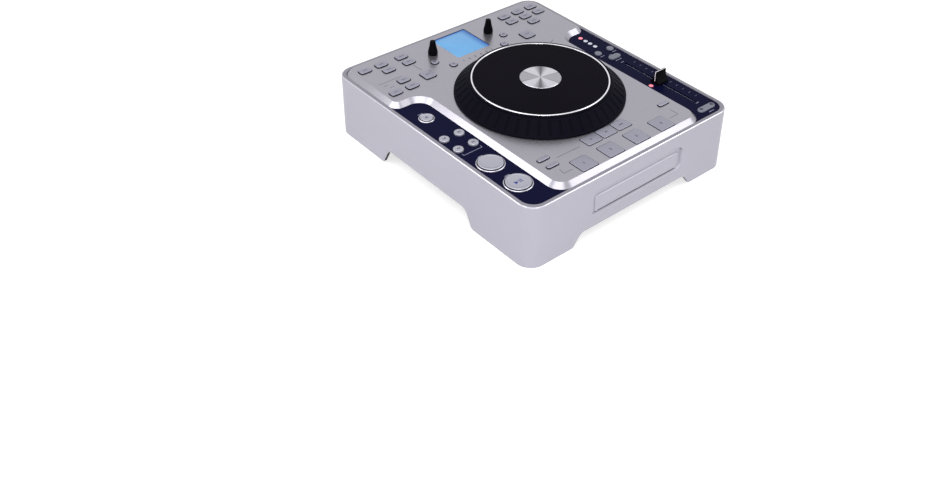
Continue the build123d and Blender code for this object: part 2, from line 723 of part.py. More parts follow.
with BuildPart() as jog_wheel:
    with BuildSketch(Plane.XZ.offset(-jog_y)):
        with BuildLine():
            Polyline(
                (bore, boss_top + clearance), (bore, jog_plate_bottom), (jog_seat_radius, jog_plate_bottom),
                (jog_seat_radius, ledge_side),
            )
            ThreePointArc(
                (jog_seat_radius, ledge_side),
                ((jog_seat_radius + ledge_radius) / 2, jog_crown - jog_ledge_drop),
                (ledge_radius, ledge_side),
            )
            Polyline(
                (ledge_radius, ledge_side), (ledge_radius, ledge_foot), grip_head, grip_foot,
                (jog_radius, jog_bottom + jog_rim_height), (jog_radius, jog_bottom),
                (jog_radius - 2 * jog_wall, jog_bottom), (grip_head[0] - jog_wall, hollow_top),
                (hub, hollow_top), (hub, boss_top + clearance), (bore, boss_top + clearance),
            )
        make_face()
    revolve(axis=axis_jog)
    # one groove cutter lies along the slope, then goes round the wheel
    slope_middle = ((grip_foot[0] + grip_head[0]) / 2, (grip_foot[1] + grip_head[1]) / 2)
    slope = Plane(
        origin=(
            slope_middle[0] - slope_z * jog_groove_centre, 0, slope_middle[1] + slope_x * jog_groove_centre,
        ),
        x_dir=(slope_x, 0, slope_z),
        z_dir=(0, 1, 0),
    )
    with BuildPart(slope, mode=Mode.PRIVATE) as groove:
        Cylinder(jog_groove_radius, grip_length - jog_groove_ends, rotation=(0, 90, 0))
    with Locations((0, jog_y, 0)):
        with PolarLocations(0, jog_grooves, start_angle=jog_groove_start):
            add(groove.part, mode=Mode.SUBTRACT)
save(jog_wheel, "jog_wheel")

with BuildPart() as jog_top_plate:
    with BuildSketch(Plane.XY.offset(jog_plate_bottom)):
        round_shape(0, jog_y, jog_ring_inner)
    extrude(amount=jog_plate_thickness)
save(jog_top_plate, "jog_top_plate")

# ---- bright parts of the wheel: the crown ring and the cap in the middle ----
ring_fit = 0.01
ring_side = jog_crown - jog_ring_round
cap_top = jog_plate_top + jog_cap_height

with BuildPart() as jog_trim:
    with BuildSketch(Plane.XZ.offset(-jog_y)):
        with BuildLine():
            ring_out = jog_seat_radius - ring_fit
            Polyline(
                (ring_out, ring_side), (ring_out, jog_plate_bottom), (jog_ring_inner, jog_plate_bottom),
                (jog_ring_inner, ring_side),
            )
            ThreePointArc(
                (jog_ring_inner, ring_side), ((jog_ring_inner + ring_out) / 2, jog_crown), (ring_out, ring_side),
            )
        make_face()
        with BuildLine():
            Polyline(
                (0, jog_plate_top), (jog_cap_radius, jog_plate_top), (jog_cap_radius, cap_top - jog_cap_edge),
                (jog_cap_radius - jog_cap_edge, cap_top), (0, cap_top), (0, jog_plate_top),
            )
        make_face()
    revolve(axis=axis_jog)
save(jog_trim, "jog_trim")

# ---- disc tray with stepped wells for both disc sizes, and its clipped-on door ----
tray_top = tray_bottom + tray_thickness
disc_y = door_back_y + disc_edge + disc_radius

with BuildPart() as disc_tray:
    with BuildSketch(Plane.XY.offset(tray_bottom)):
        with Locations((tray_centre, door_back_y + seat_gap)):
            Rectangle(tray_width, tray_length, align=(Align.CENTER, Align.MIN))
    extrude(amount=tray_thickness)
    with BuildSketch(Plane.XY.offset(tray_top)):
        round_shape(tray_centre, disc_y, disc_radius, disc_slack)
        for side in (-1, 1):
            for along in (-1, 1):
                round_shape(tray_centre + side * notch_reach, disc_y + along * notch_reach, notch_radius)
    extrude(amount=-disc_well_depth, mode=Mode.SUBTRACT)
    with BuildSketch(Plane.XY.offset(tray_top - disc_well_depth)):
        round_shape(tray_centre, disc_y, small_disc_radius, disc_slack)
    extrude(amount=-small_well_depth, mode=Mode.SUBTRACT)
    with BuildSketch(Plane.XY.offset(tray_top)):
        round_shape(tray_centre, disc_y, spindle_opening)
        with Locations((tray_centre, disc_y)):
            Rectangle(2 * spindle_opening, spindle_slot, align=(Align.CENTER, Align.MIN))
    extrude(amount=-tray_thickness, mode=Mode.SUBTRACT)
    with BuildSketch(Plane.XZ.offset(-door_back_y)):
        with Locations((tray_centre, door_z)):
            RectangleRounded(door_width, door_height, door_round)
    extrude(amount=door_thickness)
    chamfer(disc_tray.faces().sort_by(Axis.Y)[0].edges(), door_bevel)
save(disc_tray, "disc_tray")

# ---- disc loader: chassis with guide rails, clamp bridge, turntable and pick-up sled ----
guide_half = tray_width / 2 + clearance
guide_lip = 3.0
guide_thickness = 2.0
bridge_length = 42.0
clamp_height = 10.0
turntable_thickness = 2.0
turntable_drop = 1.0        # under the tray
motor_radius = 12.0
sled_gap = 6.0              # from the turntable to the pick-up sled
sled_size = (33.6, 22.0)
sled_y = disc_y + turntable_radius + sled_gap
rod_radius = 1.5
rod_half_pitch = 25.2
rod_length = 70.0
turntable_bottom = tray_bottom - turntable_drop - turntable_thickness
loader_floor_top = base_top + loader_floor

with BuildPart() as disc_loader:
    with BuildSketch(Plane.XZ.offset(-loader_front_y)):
        with Locations((tray_centre, base_top)):
            Rectangle(2 * (guide_half + loader_side), loader_top - base_top, align=(Align.CENTER, Align.MIN))
            Rectangle(
                2 * guide_half, loader_top - base_top, align=(Align.CENTER, Align.MIN), mode=Mode.SUBTRACT,
            )
        for side in (-1, 1):
            for z in (tray_bottom - clearance - guide_thickness, tray_top + clearance):
                with Locations((tray_centre + side * (guide_half - guide_lip / 2), z)):
                    Rectangle(guide_lip, guide_thickness, align=(Align.CENTER, Align.MIN))
        with Locations((tray_centre, base_top)):
            Rectangle(2 * (guide_half + loader_side), loader_floor, align=(Align.CENTER, Align.MIN))
    extrude(amount=-loader_length)
    # clamp bridge over the tray, with the clamp disc hanging from it
    with BuildSketch(Plane.XY.offset(loader_top)):
        with Locations((tray_centre, disc_y)):
            Rectangle(2 * (guide_half + loader_side), bridge_length)
    extrude(amount=guide_thickness)
    with BuildSketch(Plane.XY.offset(loader_top)):
        round_shape(tray_centre, disc_y, turntable_radius)
    extrude(amount=-clamp_height)
    # turntable on its motor, and the sled between two rods
    with BuildSketch(Plane.XY.offset(loader_floor_top)):
        round_shape(tray_centre, disc_y, motor_radius)
        with Locations((tray_centre, sled_y)):
            Rectangle(*sled_size, align=(Align.CENTER, Align.MIN))
    extrude(amount=turntable_bottom - loader_floor_top)
    with BuildSketch(Plane.XY.offset(turntable_bottom)):
        round_shape(tray_centre, disc_y, turntable_radius)
    extrude(amount=turntable_thickness)
    with BuildSketch(Plane.XZ.offset(-disc_y)):
        for side in (-1, 1):
            round_shape(tray_centre + side * rod_half_pitch, loader_floor_top + rod_radius, rod_radius)
    extrude(amount=-rod_length)
save(disc_loader, "disc_loader")

# ---- fader cap: a block with hollow flanks that rise to a thin finger ridge, on a flat stem ----
fader_cap_bottom = inlay_top + clearance
fader_body_bottom = deck_bottom - fader_body_height

with BuildPart() as fader_cap:
    with BuildSketch(Plane.YZ.offset(strip_x)):
        with BuildLine():
            half = fader_cap_size[1] / 2
            top = fader_cap_bottom + fader_cap_height
            foot = fader_cap_bottom + fader_foot
            waist = fader_cap_bottom + fader_waist[1] * fader_cap_height
            Line((fader_y - fader_ridge, top), (fader_y + fader_ridge, top))
            ThreePointArc((fader_y + fader_ridge, top), (fader_y + fader_waist[0], waist), (fader_y + half, foot))
            Polyline(
                (fader_y + half, foot), (fader_y + half, fader_cap_bottom),
                (fader_y - half, fader_cap_bottom), (fader_y - half, foot),
            )
            ThreePointArc((fader_y - half, foot), (fader_y - fader_waist[0], waist), (fader_y - fader_ridge, top))
        make_face()
    extrude(amount=fader_cap_size[0] / 2, both=True)
    with BuildSketch(Plane.XY.offset(fader_cap_bottom)):
        with Locations((strip_x, fader_y)):
            Rectangle(*fader_stem)
    extrude(amount=fader_body_bottom + fader_body_floor + fader_stem_gap - fader_cap_bottom)
save(fader_cap, "fader_cap")

# ---- circuit boards with the fader body, knob bodies and display module on them ----
panel_board_top = deck_top + board_thickness
knob_body = 13.0            # square
knob_body_height = panel_under - panel_board_top - clearance
knob_body_floor = 0.4
display_body_inset = 3.0
board_side_gap = 6.5        # to the sides of the hollow under the panel
board_end_gap = 4.7         # to its front and back
hollow_side = recess_width / 2 - clearance - panel_hollow_inset
hollow_end = recess_depth / 2 - clearance - panel_hollow_inset
back_board_width = 2 * (hollow_side - board_side_gap)
back_board_back = hollow_end - board_end_gap
back_board_front = display_y - display_depth / 2 - 15.5
front_board_width = panel_front_width - 2 * (panel_hollow_inset + board_side_gap)
front_board_front = board_end_gap - hollow_end
front_board_back = bank_y + 14.0
side_board_width = 36.0
fader_body_length = fader_slot_length + 2 * fader_body_ends
side_board_y = (side_board_front + side_board_back) / 2
main_board_y = (main_board_front + main_board_back) / 2
board_blocks = [            # on the main board: place from its middle, width, depth and height
    (-60.0, 33.0, 46.0, 40.0, 26.0), (10.0, 25.0, 30.0, 30.0, 3.0), (60.0, -15.0, 22.0, 22.0, 3.0),
    (-70.0, -25.0, 12.0, 12.0, 18.0), (-50.0, -25.0, 12.0, 12.0, 18.0), (5.0, -30.0, 40.0, 16.0, 3.0),
]

with BuildPart() as circuit_boards:
    with BuildSketch(Plane.XY.offset(deck_top)):
        with Locations((0, (back_board_front + back_board_back) / 2)):
            Rectangle(back_board_width, back_board_back - back_board_front)
        with Locations((0, (front_board_front + front_board_back) / 2)):
            Rectangle(front_board_width, front_board_back - front_board_front)
    extrude(amount=board_thickness)
    with BuildSketch(Plane.XY.offset(panel_board_top)):
        for side in (-1, 1):
            with Locations((side * knob_x, display_y)):
                Rectangle(knob_body, knob_body)
        with Locations((0, display_y)):
            Rectangle(display_width - 2 * display_body_inset, display_depth - 2 * display_body_inset)
    extrude(amount=knob_body_height)
    with BuildSketch(Plane.XY.offset(panel_board_top + knob_body_floor)):
        for side in (-1, 1):
            round_shape(side * knob_x, display_y, knob_shaft, spindle_fit)
    extrude(amount=knob_body_height, mode=Mode.SUBTRACT)
    # side boards on the posts under the deck, the right one cut out round the fader
    with BuildSketch(Plane.XY.offset(side_board_top)):
        with Locations((-strip_x, side_board_y), (strip_x, side_board_y)):
            Rectangle(side_board_width, side_board_back - side_board_front)
        with Locations((strip_x, fader_y)):
            Rectangle(
                fader_body_width + 2 * clearance, fader_body_length + 2 * clearance, mode=Mode.SUBTRACT,
            )
    extrude(amount=-board_thickness)
    # fader body with the channel for the stem
    with BuildSketch(Plane.XY.offset(deck_bottom)):
        with Locations((strip_x, fader_y)):
            Rectangle(fader_body_width, fader_body_length)
    extrude(amount=-fader_body_height)
    with BuildSketch(Plane.XY.offset(deck_bottom)):
        with Locations((strip_x, fader_y)):
            Rectangle(fader_slot_width, fader_slot_length)
    extrude(amount=fader_body_floor - fader_body_height, mode=Mode.SUBTRACT)
    with BuildSketch(Plane.XY.offset(main_board_bottom)):
        with Locations((0, main_board_y)):
            Rectangle(main_board_width, main_board_back - main_board_front)
    extrude(amount=board_thickness)
    for x, y, width, depth, height in board_blocks:
        with BuildSketch(Plane.XY.offset(main_board_bottom + board_thickness)):
            with Locations((x, main_board_y + y)):
                Rectangle(width, depth)
        extrude(amount=height)
save(circuit_boards, "circuit_boards")

# ---- sockets in the rear pocket: three coaxial sockets, a remote jack, mains inlet, switch frame ----
with BuildPart() as rear_sockets:
    floor_plane = Plane.XZ.offset(-pocket_floor_y)
    with BuildSketch(floor_plane):
        for x in audio_x:
            round_shape(x, socket_z, socket_nut)
    extrude(amount=-socket_nut_length)
    with BuildSketch(floor_plane):
        for x in audio_x:
            round_shape(x, socket_z, socket_sleeve)
        round_shape(remote_x, socket_z, remote_radius)
    extrude(amount=pocket_wall)
    with BuildSketch(floor_plane):
        for x in audio_x:
            round_shape(x, socket_z, socket_sleeve)
    extrude(amount=-socket_length)
    with BuildSketch(floor_plane):
        round_shape(remote_x, socket_z, remote_radius + 1.5)
    extrude(amount=-remote_length)
    # bodies behind the pocket floor
    with BuildSketch(Plane.XZ.offset(-(pocket_floor_y - pocket_wall))):
        for x in (*audio_x, remote_x):
            with Locations((x, socket_z)):
                Rectangle(11, 11)
    extrude(amount=8.0)
    with BuildSketch(Plane.XZ.offset(-(pocket_floor_y + socket_length))):
        for x in audio_x:
            round_shape(x, socket_z, socket_bore)
    extrude(amount=socket_length - 1.0, mode=Mode.SUBTRACT)
    with BuildSketch(Plane.XZ.offset(-(pocket_floor_y + remote_length))):
        round_shape(remote_x, socket_z, remote_bore)
    extrude(amount=socket_length, mode=Mode.SUBTRACT)
    # mains inlet: flange, body, mouth and two pins
    with BuildSketch(floor_plane):
        with Locations((inlet_x, socket_z)):
            RectangleRounded(inlet_size[0] + 2 * inlet_flange, inlet_size[1] + 2 * inlet_flange, 2)
    extrude(amount=-socket_nut_length)
    with BuildSketch(floor_plane):
        with Locations((inlet_x, socket_z)):
            Rectangle(*inlet_size)
    extrude(amount=inlet_body_depth)
    with BuildSketch(Plane.XZ.offset(-(pocket_floor_y + socket_nut_length))):
        with Locations((inlet_x, socket_z)):
            SlotOverall(*inlet_mouth)
    extrude(amount=inlet_mouth_depth, mode=Mode.SUBTRACT)
    with BuildSketch(Plane.XZ.offset(-(pocket_floor_y + socket_nut_length - inlet_mouth_depth))):
        for side in (-1, 1):
            round_shape(inlet_x + side * inlet_pin_x, socket_z, inlet_pin_radius)
    extrude(amount=-inlet_pin_length)
    # flange and body of the mains switch, hollow for the paddle
    with BuildSketch(floor_plane):
        with Locations((switch_x, socket_z)):
            RectangleRounded(switch_body[0] + 2 * switch_flange, switch_body[1] + 2 * switch_flange, 2)
    extrude(amount=-switch_flange_rise)
    with BuildSketch(floor_plane):
        with Locations((switch_x, socket_z)):
            Rectangle(*switch_body)
    extrude(amount=switch_body_depth)
    with BuildSketch(Plane.XZ.offset(-(pocket_floor_y + switch_flange_rise))):
        with Locations((switch_x, socket_z)):
            Rectangle(switch_paddle[0] + 2 * slip, switch_paddle[1] + 3 * slip)
    extrude(amount=switch_flange_rise + switch_cavity_depth, mode=Mode.SUBTRACT)
    switch_pin_reach = switch_paddle[0] / 2 + slip + 1.2
    with BuildSketch(Plane.YZ.offset(switch_x)):
        with Locations((pocket_floor_y, socket_z)):
            Circle(switch_pin_radius + pin_fit)
    extrude(amount=switch_pin_reach + seat_gap, both=True, mode=Mode.SUBTRACT)
save(rear_sockets, "rear_sockets")

# ---- power switch: a paddle with a hollowed face, resting tipped to its off side ----
tipped = Plane(origin=(switch_x, pocket_floor_y, socket_z), x_dir=(0, 1, 0), z_dir=(1, 0, 0))
with BuildPart() as power_switch:
    with BuildSketch(tipped.rotated((-switch_swing, 0, 0))):
        with BuildLine():
            half = switch_paddle[1] / 2
            face = switch_flange_rise + 0.4
            Polyline(
                (face, half), (-4.0, half - 1.0), (-5.0, 0), (-4.0, -half + 1.0), (face, -half),
            )
            ThreePointArc((face, -half), (face - 0.9, 0), (face, half))
        make_face()
    extrude(amount=switch_paddle[0] / 2, both=True)
    with BuildSketch(tipped):
        Circle(switch_pin_radius)
    extrude(amount=switch_pin_reach, both=True)
save(power_switch, "power_switch")
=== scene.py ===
import math

import bmesh
import bpy
from mathutils import Matrix, Vector


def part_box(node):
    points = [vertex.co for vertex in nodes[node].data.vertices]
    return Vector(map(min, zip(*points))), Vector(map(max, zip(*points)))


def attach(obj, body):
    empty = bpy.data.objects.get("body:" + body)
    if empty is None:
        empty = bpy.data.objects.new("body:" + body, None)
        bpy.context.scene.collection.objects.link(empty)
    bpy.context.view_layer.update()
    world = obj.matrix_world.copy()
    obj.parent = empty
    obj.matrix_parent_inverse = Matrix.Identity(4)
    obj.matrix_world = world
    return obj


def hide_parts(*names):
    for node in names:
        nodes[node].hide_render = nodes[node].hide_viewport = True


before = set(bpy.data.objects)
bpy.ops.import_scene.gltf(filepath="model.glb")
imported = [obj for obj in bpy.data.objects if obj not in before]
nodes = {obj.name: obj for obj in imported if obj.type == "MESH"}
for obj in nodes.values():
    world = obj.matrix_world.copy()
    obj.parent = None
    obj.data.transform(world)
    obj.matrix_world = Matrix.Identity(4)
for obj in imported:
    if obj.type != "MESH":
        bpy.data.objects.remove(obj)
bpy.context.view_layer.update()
mm = 0.001
print("frame loaded:", len(nodes), "nodes")


# mesh helpers, all in millimetres until a piece is finished
def boxOf(node):
    low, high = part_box(node)
    return low / mm, high / mm


def facesOf(result):
    return [part for part in result["geom"] if isinstance(part, bmesh.types.BMFace)]


def raiseFace(bm, face, height):
    made = bmesh.ops.extrude_face_region(bm, geom=[face])
    moved = [part for part in made["geom"] if isinstance(part, bmesh.types.BMVert)]
    bmesh.ops.translate(bm, verts=moved, vec=(0, 0, height))
    return facesOf(made)[0]


def insetFace(bm, face, thickness, rise=0.0):
    bmesh.ops.inset_region(bm, faces=[face], thickness=thickness, depth=rise, use_even_offset=True)
    return face


def roundedFace(bm, width, depth, radius, place, steps=6):
    x, y, z = place
    corners = [
        bm.verts.new((x + sx * width / 2, y + sy * depth / 2, z))
        for sx, sy in ((-1, -1), (1, -1), (1, 1), (-1, 1))
    ]
    bm.faces.new(corners)
    bmesh.ops.bevel(
        bm, geom=corners, offset=radius, offset_type="OFFSET", affect="VERTICES",
        segments=steps, profile=0.5, material=-1,
    )
    bm.faces.ensure_lookup_table()
    return bm.faces[-1]


def roundFace(bm, radius, place, segments=64):
    bmesh.ops.create_circle(
        bm, cap_ends=True, segments=segments, radius=radius, matrix=Matrix.Translation(place)
    )
    bm.faces.ensure_lookup_table()
    return bm.faces[-1]


def bevelEdges(bm, edges, width, segments=3):
    return bmesh.ops.bevel(
        bm, geom=list(edges), offset=width, offset_type="OFFSET", affect="EDGES",
        segments=segments, profile=0.5, material=-1, clamp_overlap=True,
    )


def joinInto(bm, other, materialIndex=0):
    for face in other.faces:
        face.material_index = materialIndex
    scratch = bpy.data.meshes.new("scratch")
    other.to_mesh(scratch)
    other.free()
    bm.from_mesh(scratch)
    bpy.data.meshes.remove(scratch)


def turned(profile, place, steps=96):
    # spins a profile of (radius, height) pairs round a vertical axis
    bm = bmesh.new()
    x, y = place
    line = [bm.verts.new((x + radius, y, height)) for radius, height in profile]
    for first, second in zip(line, line[1:]):
        bm.edges.new((first, second))
    bmesh.ops.spin(
        bm, geom=bm.verts[:] + bm.edges[:], cent=(x, y, 0), axis=(0, 0, 1), dvec=(0, 0, 0),
        angle=2 * math.pi, steps=steps, use_merge=True,
    )
    bmesh.ops.remove_doubles(bm, verts=bm.verts, dist=0.001)
    return bm


def shadeByAngle(bm, angle=32.0):
    for face in bm.faces:
        face.smooth = True
    for edge in bm.edges:
        edge.smooth = len(edge.link_faces) == 2 and edge.calc_face_angle(0.0) < math.radians(angle)


def finishPiece(bm, name, body, materials, stands=(), recalc=True, angle=32.0):
    bmesh.ops.scale(bm, verts=bm.verts, vec=(mm, mm, mm))
    if recalc:
        bmesh.ops.recalc_face_normals(bm, faces=bm.faces)
    shadeByAngle(bm, angle)
    mesh = bpy.data.meshes.new(name)
    bm.to_mesh(mesh)
    bm.free()
    piece = bpy.data.objects.new(name, mesh)
    bpy.context.scene.collection.objects.link(piece)
    for material in materials if isinstance(materials, (list, tuple)) else [materials]:
        mesh.materials.append(material)
    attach(piece, body)
    if stands:
        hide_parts(*stands)
    return piece


def islandsOf(bm):
    left = set(bm.verts)
    while left:
        seed = left.pop()
        island, edge = {seed}, [seed]
        while edge:
            vert = edge.pop()
            for link in vert.link_edges:
                other = link.other_vert(vert)
                if other not in island:
                    island.add(other)
                    edge.append(other)
        left -= island
        yield island


def copyOf(node, keep=None):
    # a merged copy of a CAD node, or of the islands of it that keep() accepts by their box
    bm = bmesh.new()
    bm.from_mesh(nodes[node].data)
    bmesh.ops.remove_doubles(bm, verts=bm.verts, dist=2e-6)
    bmesh.ops.scale(bm, verts=bm.verts, vec=(1 / mm, 1 / mm, 1 / mm))
    if keep:
        for island in list(islandsOf(bm)):
            low = Vector([min(v.co[i] for v in island) for i in range(3)])
            high = Vector([max(v.co[i] for v in island) for i in range(3)])
            if not keep(low, high):
                bmesh.ops.delete(bm, geom=list(island), context="VERTS")
    bmesh.ops.dissolve_limit(
        bm, angle_limit=math.radians(0.5), verts=bm.verts, edges=bm.edges, delimit={"NORMAL"}
    )
    return bm


# material helpers
def addNode(tree, kind, inputs=None, **settings):
    node = tree.nodes.new(kind)
    for key, value in settings.items():
        setattr(node, key, value)
    for key, value in (inputs or {}).items():
        if isinstance(value, bpy.types.NodeSocket):
            tree.links.new(value, node.inputs[key])
        else:
            node.inputs[key].default_value = value
    return node


def mathNode(tree, operation, first, second=0.0, third=0.0):
    return addNode(tree, "ShaderNodeMath", {0: first, 1: second, 2: third}, operation=operation).outputs[0]


def mixColours(tree, factor, first, second):
    node = addNode(tree, "ShaderNodeMix", {0: factor, 6: first, 7: second}, data_type="RGBA")
    return node.outputs[2]


def spread(tree, value, low, high, newLow, newHigh):
    node = addNode(
        tree, "ShaderNodeMapRange",
        {"Value": value, "From Min": low, "From Max": high, "To Min": newLow, "To Max": newHigh},
    )
    return node.outputs[0]


def newGroup(name, inputs, outputs):
    tree = bpy.data.node_groups.new(name, "ShaderNodeTree")
    for label, kind, value in inputs:
        tree.interface.new_socket(label, in_out="INPUT", socket_type=kind).default_value = value
    for label, kind in outputs:
        tree.interface.new_socket(label, in_out="OUTPUT", socket_type=kind)
    return tree, tree.nodes.new("NodeGroupInput").outputs, tree.nodes.new("NodeGroupOutput").inputs


def placeGroup(tree, group, inputs):
    node = tree.nodes.new("ShaderNodeGroup")
    node.node_tree = group
    for key, value in inputs.items():
        if isinstance(value, bpy.types.NodeSocket):
            tree.links.new(value, node.inputs[key])
        else:
            node.inputs[key].default_value = value
    return node.outputs


def colour(red, green, blue):
    # an sRGB colour as seen, given 0-255
    def linear(channel):
        channel /= 255
        return channel / 12.92 if channel <= 0.04045 else ((channel + 0.055) / 1.055) ** 2.4
    return (linear(red), linear(green), linear(blue), 1.0)


def newMaterial(name, constants):
    material = bpy.data.materials.new(name)
    material.use_nodes = True
    tree = material.node_tree
    shader = tree.nodes["Principled BSDF"]
    for key, value in constants.items():
        shader.inputs[key].default_value = value
    place = addNode(tree, "ShaderNodeTexCoord").outputs["Object"]
    return material, tree, shader, place


def addBump(tree, shader, height, strength, distance):
    bump = addNode(
        tree, "ShaderNodeBump", {"Height": height, "Strength": strength, "Distance": distance * mm}
    )
    tree.links.new(bump.outputs["Normal"], shader.inputs["Normal"])


# flakes of metallic paint or grain of moulded plastic, over a slow drift of tone
tree, given, result = newGroup(
    "paintGrain",
    [("Vector", "NodeSocketVector", (0, 0, 0)), ("Colour", "NodeSocketColor", (0.5, 0.5, 0.5, 1)),
     ("Flake Size", "NodeSocketFloat", 0.3), ("Flake", "NodeSocketFloat", 0.1),
     ("Drift", "NodeSocketFloat", 0.05)],
    [("Colour", "NodeSocketColor"), ("Height", "NodeSocketFloat")],
)
flakeScale = mathNode(tree, "DIVIDE", 1000.0, given["Flake Size"])
flakes = addNode(
    tree, "ShaderNodeTexNoise",
    {"Vector": given["Vector"], "Scale": flakeScale, "Detail": 2.0, "Roughness": 0.6},
)
drift = addNode(
    tree, "ShaderNodeTexNoise", {"Vector": given["Vector"], "Scale": 14.0, "Detail": 3.0, "Roughness": 0.5}
)
flakeLight = mathNode(tree, "MULTIPLY", mathNode(tree, "SUBTRACT", flakes.outputs[0], 0.5), given["Flake"])
driftLight = mathNode(tree, "MULTIPLY", mathNode(tree, "SUBTRACT", drift.outputs[0], 0.5), given["Drift"])
light = mathNode(tree, "ADD", mathNode(tree, "ADD", flakeLight, driftLight), 1.0)
shaded = addNode(tree, "ShaderNodeVectorMath", {0: given["Colour"], 3: light}, operation="SCALE")
tree.links.new(shaded.outputs[0], result["Colour"])
tree.links.new(flakes.outputs[0], result["Height"])
paintGrain = tree

# hair scratches in two directions and soft smudges where hands rest
tree, given, result = newGroup(
    "handWear",
    [("Vector", "NodeSocketVector", (0, 0, 0)), ("Roughness", "NodeSocketFloat", 0.4),
     ("Scratch", "NodeSocketFloat", 0.1), ("Smudge", "NodeSocketFloat", 0.08)],
    [("Roughness", "NodeSocketFloat")],
)
hairs = []
for turn, stretch in ((0.5, (60.0, 2600.0, 400.0)), (-0.9, (90.0, 3100.0, 400.0))):
    turnedPlace = addNode(
        tree, "ShaderNodeVectorRotate", {"Vector": given["Vector"], "Angle": turn}, rotation_type="Z_AXIS"
    )
    stretched = addNode(
        tree, "ShaderNodeVectorMath", {0: turnedPlace.outputs[0], 1: stretch}, operation="MULTIPLY"
    )
    hair = addNode(tree, "ShaderNodeTexNoise", {"Vector": stretched.outputs[0], "Scale": 1.0, "Detail": 1.0})
    hairs.append(spread(tree, hair.outputs[0], 0.69, 0.76, 0.0, 1.0))
patches = addNode(tree, "ShaderNodeTexNoise", {"Vector": given["Vector"], "Scale": 22.0, "Detail": 2.0})
worn = spread(tree, patches.outputs[0], 0.45, 0.7, 0.0, 1.0)
scratches = mathNode(tree, "MULTIPLY", mathNode(tree, "MAXIMUM", hairs[0], hairs[1]), worn)
smudges = addNode(
    tree, "ShaderNodeTexNoise", {"Vector": given["Vector"], "Scale": 38.0, "Detail": 4.0, "Roughness": 0.62}
)
smudged = mathNode(tree, "MULTIPLY", mathNode(tree, "SUBTRACT", smudges.outputs[0], 0.5), given["Smudge"])
scratched = mathNode(tree, "MULTIPLY", scratches, given["Scratch"])
rough = mathNode(tree, "ADD", mathNode(tree, "ADD", given["Roughness"], smudged), scratched)
tree.links.new(rough, result["Roughness"])
handWear = tree

# fine rings left by turning, and a painted fan of reflected light and dark, as such metal shows it
tree, given, result = newGroup(
    "turnedLinesAndPaintedFan",
    [("Vector", "NodeSocketVector", (0, 0, 0)), ("Pitch", "NodeSocketFloat", 0.4),
     ("Back Wedge", "NodeSocketFloat", 0.5), ("Back Width", "NodeSocketFloat", 0.3),
     ("Front Wedge", "NodeSocketFloat", 0.5), ("Front Width", "NodeSocketFloat", 0.3),
     ("Thin Wedge", "NodeSocketFloat", 0.2), ("Side", "NodeSocketFloat", 0.2),
     ("Streak", "NodeSocketFloat", 0.1)],
    [("Rings", "NodeSocketFloat"), ("Light", "NodeSocketFloat")],
)
split = addNode(tree, "ShaderNodeSeparateXYZ", {0: given["Vector"]})
flat = addNode(tree, "ShaderNodeCombineXYZ", {0: split.outputs[0], 1: split.outputs[1]})
radius = addNode(tree, "ShaderNodeVectorMath", {0: flat.outputs[0]}, operation="LENGTH").outputs["Value"]
ringPlace = mathNode(tree, "DIVIDE", mathNode(tree, "MULTIPLY", radius, 1000.0), given["Pitch"])
rings = addNode(
    tree, "ShaderNodeTexNoise", {"W": ringPlace, "Scale": 1.0, "Detail": 1.0}, noise_dimensions="1D"
)
angle = mathNode(tree, "ARCTAN2", split.outputs[1], split.outputs[0])
wedges = []
for middle, depth, width in (
    (math.pi / 2, "Back Wedge", "Back Width"), (-math.pi / 2, "Front Wedge", "Front Width")
):
    away = mathNode(tree, "ABSOLUTE", mathNode(tree, "SUBTRACT", angle, middle))
    share = mathNode(tree, "SMOOTH_MIN", mathNode(tree, "DIVIDE", away, given[width]), 1.0, 0.35)
    wedges.append(mathNode(tree, "MULTIPLY", mathNode(tree, "SUBTRACT", 1.0, share), given[depth]))
wedge = mathNode(tree, "MAXIMUM", wedges[0], wedges[1])
upright = mathNode(
    tree, "ABSOLUTE", mathNode(tree, "SUBTRACT", mathNode(tree, "ABSOLUTE", angle), math.pi / 2)
)
thinMiddle, thinHalf = 1.07, 0.07  # radians from the fan's own upright line
sideStart, sideEnd = 1.0, 1.14
besideThin = mathNode(tree, "ABSOLUTE", mathNode(tree, "SUBTRACT", upright, thinMiddle))
fromThin = mathNode(tree, "DIVIDE", besideThin, thinHalf)
thin = mathNode(tree, "SMOOTH_MIN", fromThin, 1.0, 0.4)
thinWedge = mathNode(tree, "MULTIPLY", mathNode(tree, "SUBTRACT", 1.0, thin), given["Thin Wedge"])
sideShade = mathNode(tree, "MULTIPLY", spread(tree, upright, sideStart, sideEnd, 0.0, 1.0), given["Side"])
thinWedge = mathNode(tree, "ADD", thinWedge, sideShade)
fine = addNode(
    tree, "ShaderNodeTexNoise", {"W": mathNode(tree, "MULTIPLY", angle, 22.0), "Scale": 1.0, "Detail": 3.0},
    noise_dimensions="1D",
)
streak = mathNode(tree, "MULTIPLY", mathNode(tree, "SUBTRACT", fine.outputs[0], 0.5), given["Streak"])
fanLight = mathNode(tree, "SUBTRACT", mathNode(tree, "SUBTRACT", 1.0, wedge), thinWedge)
tree.links.new(rings.outputs[0], result["Rings"])
tree.links.new(mathNode(tree, "ADD", fanLight, streak), result["Light"])
turnedLinesAndPaintedFan = tree

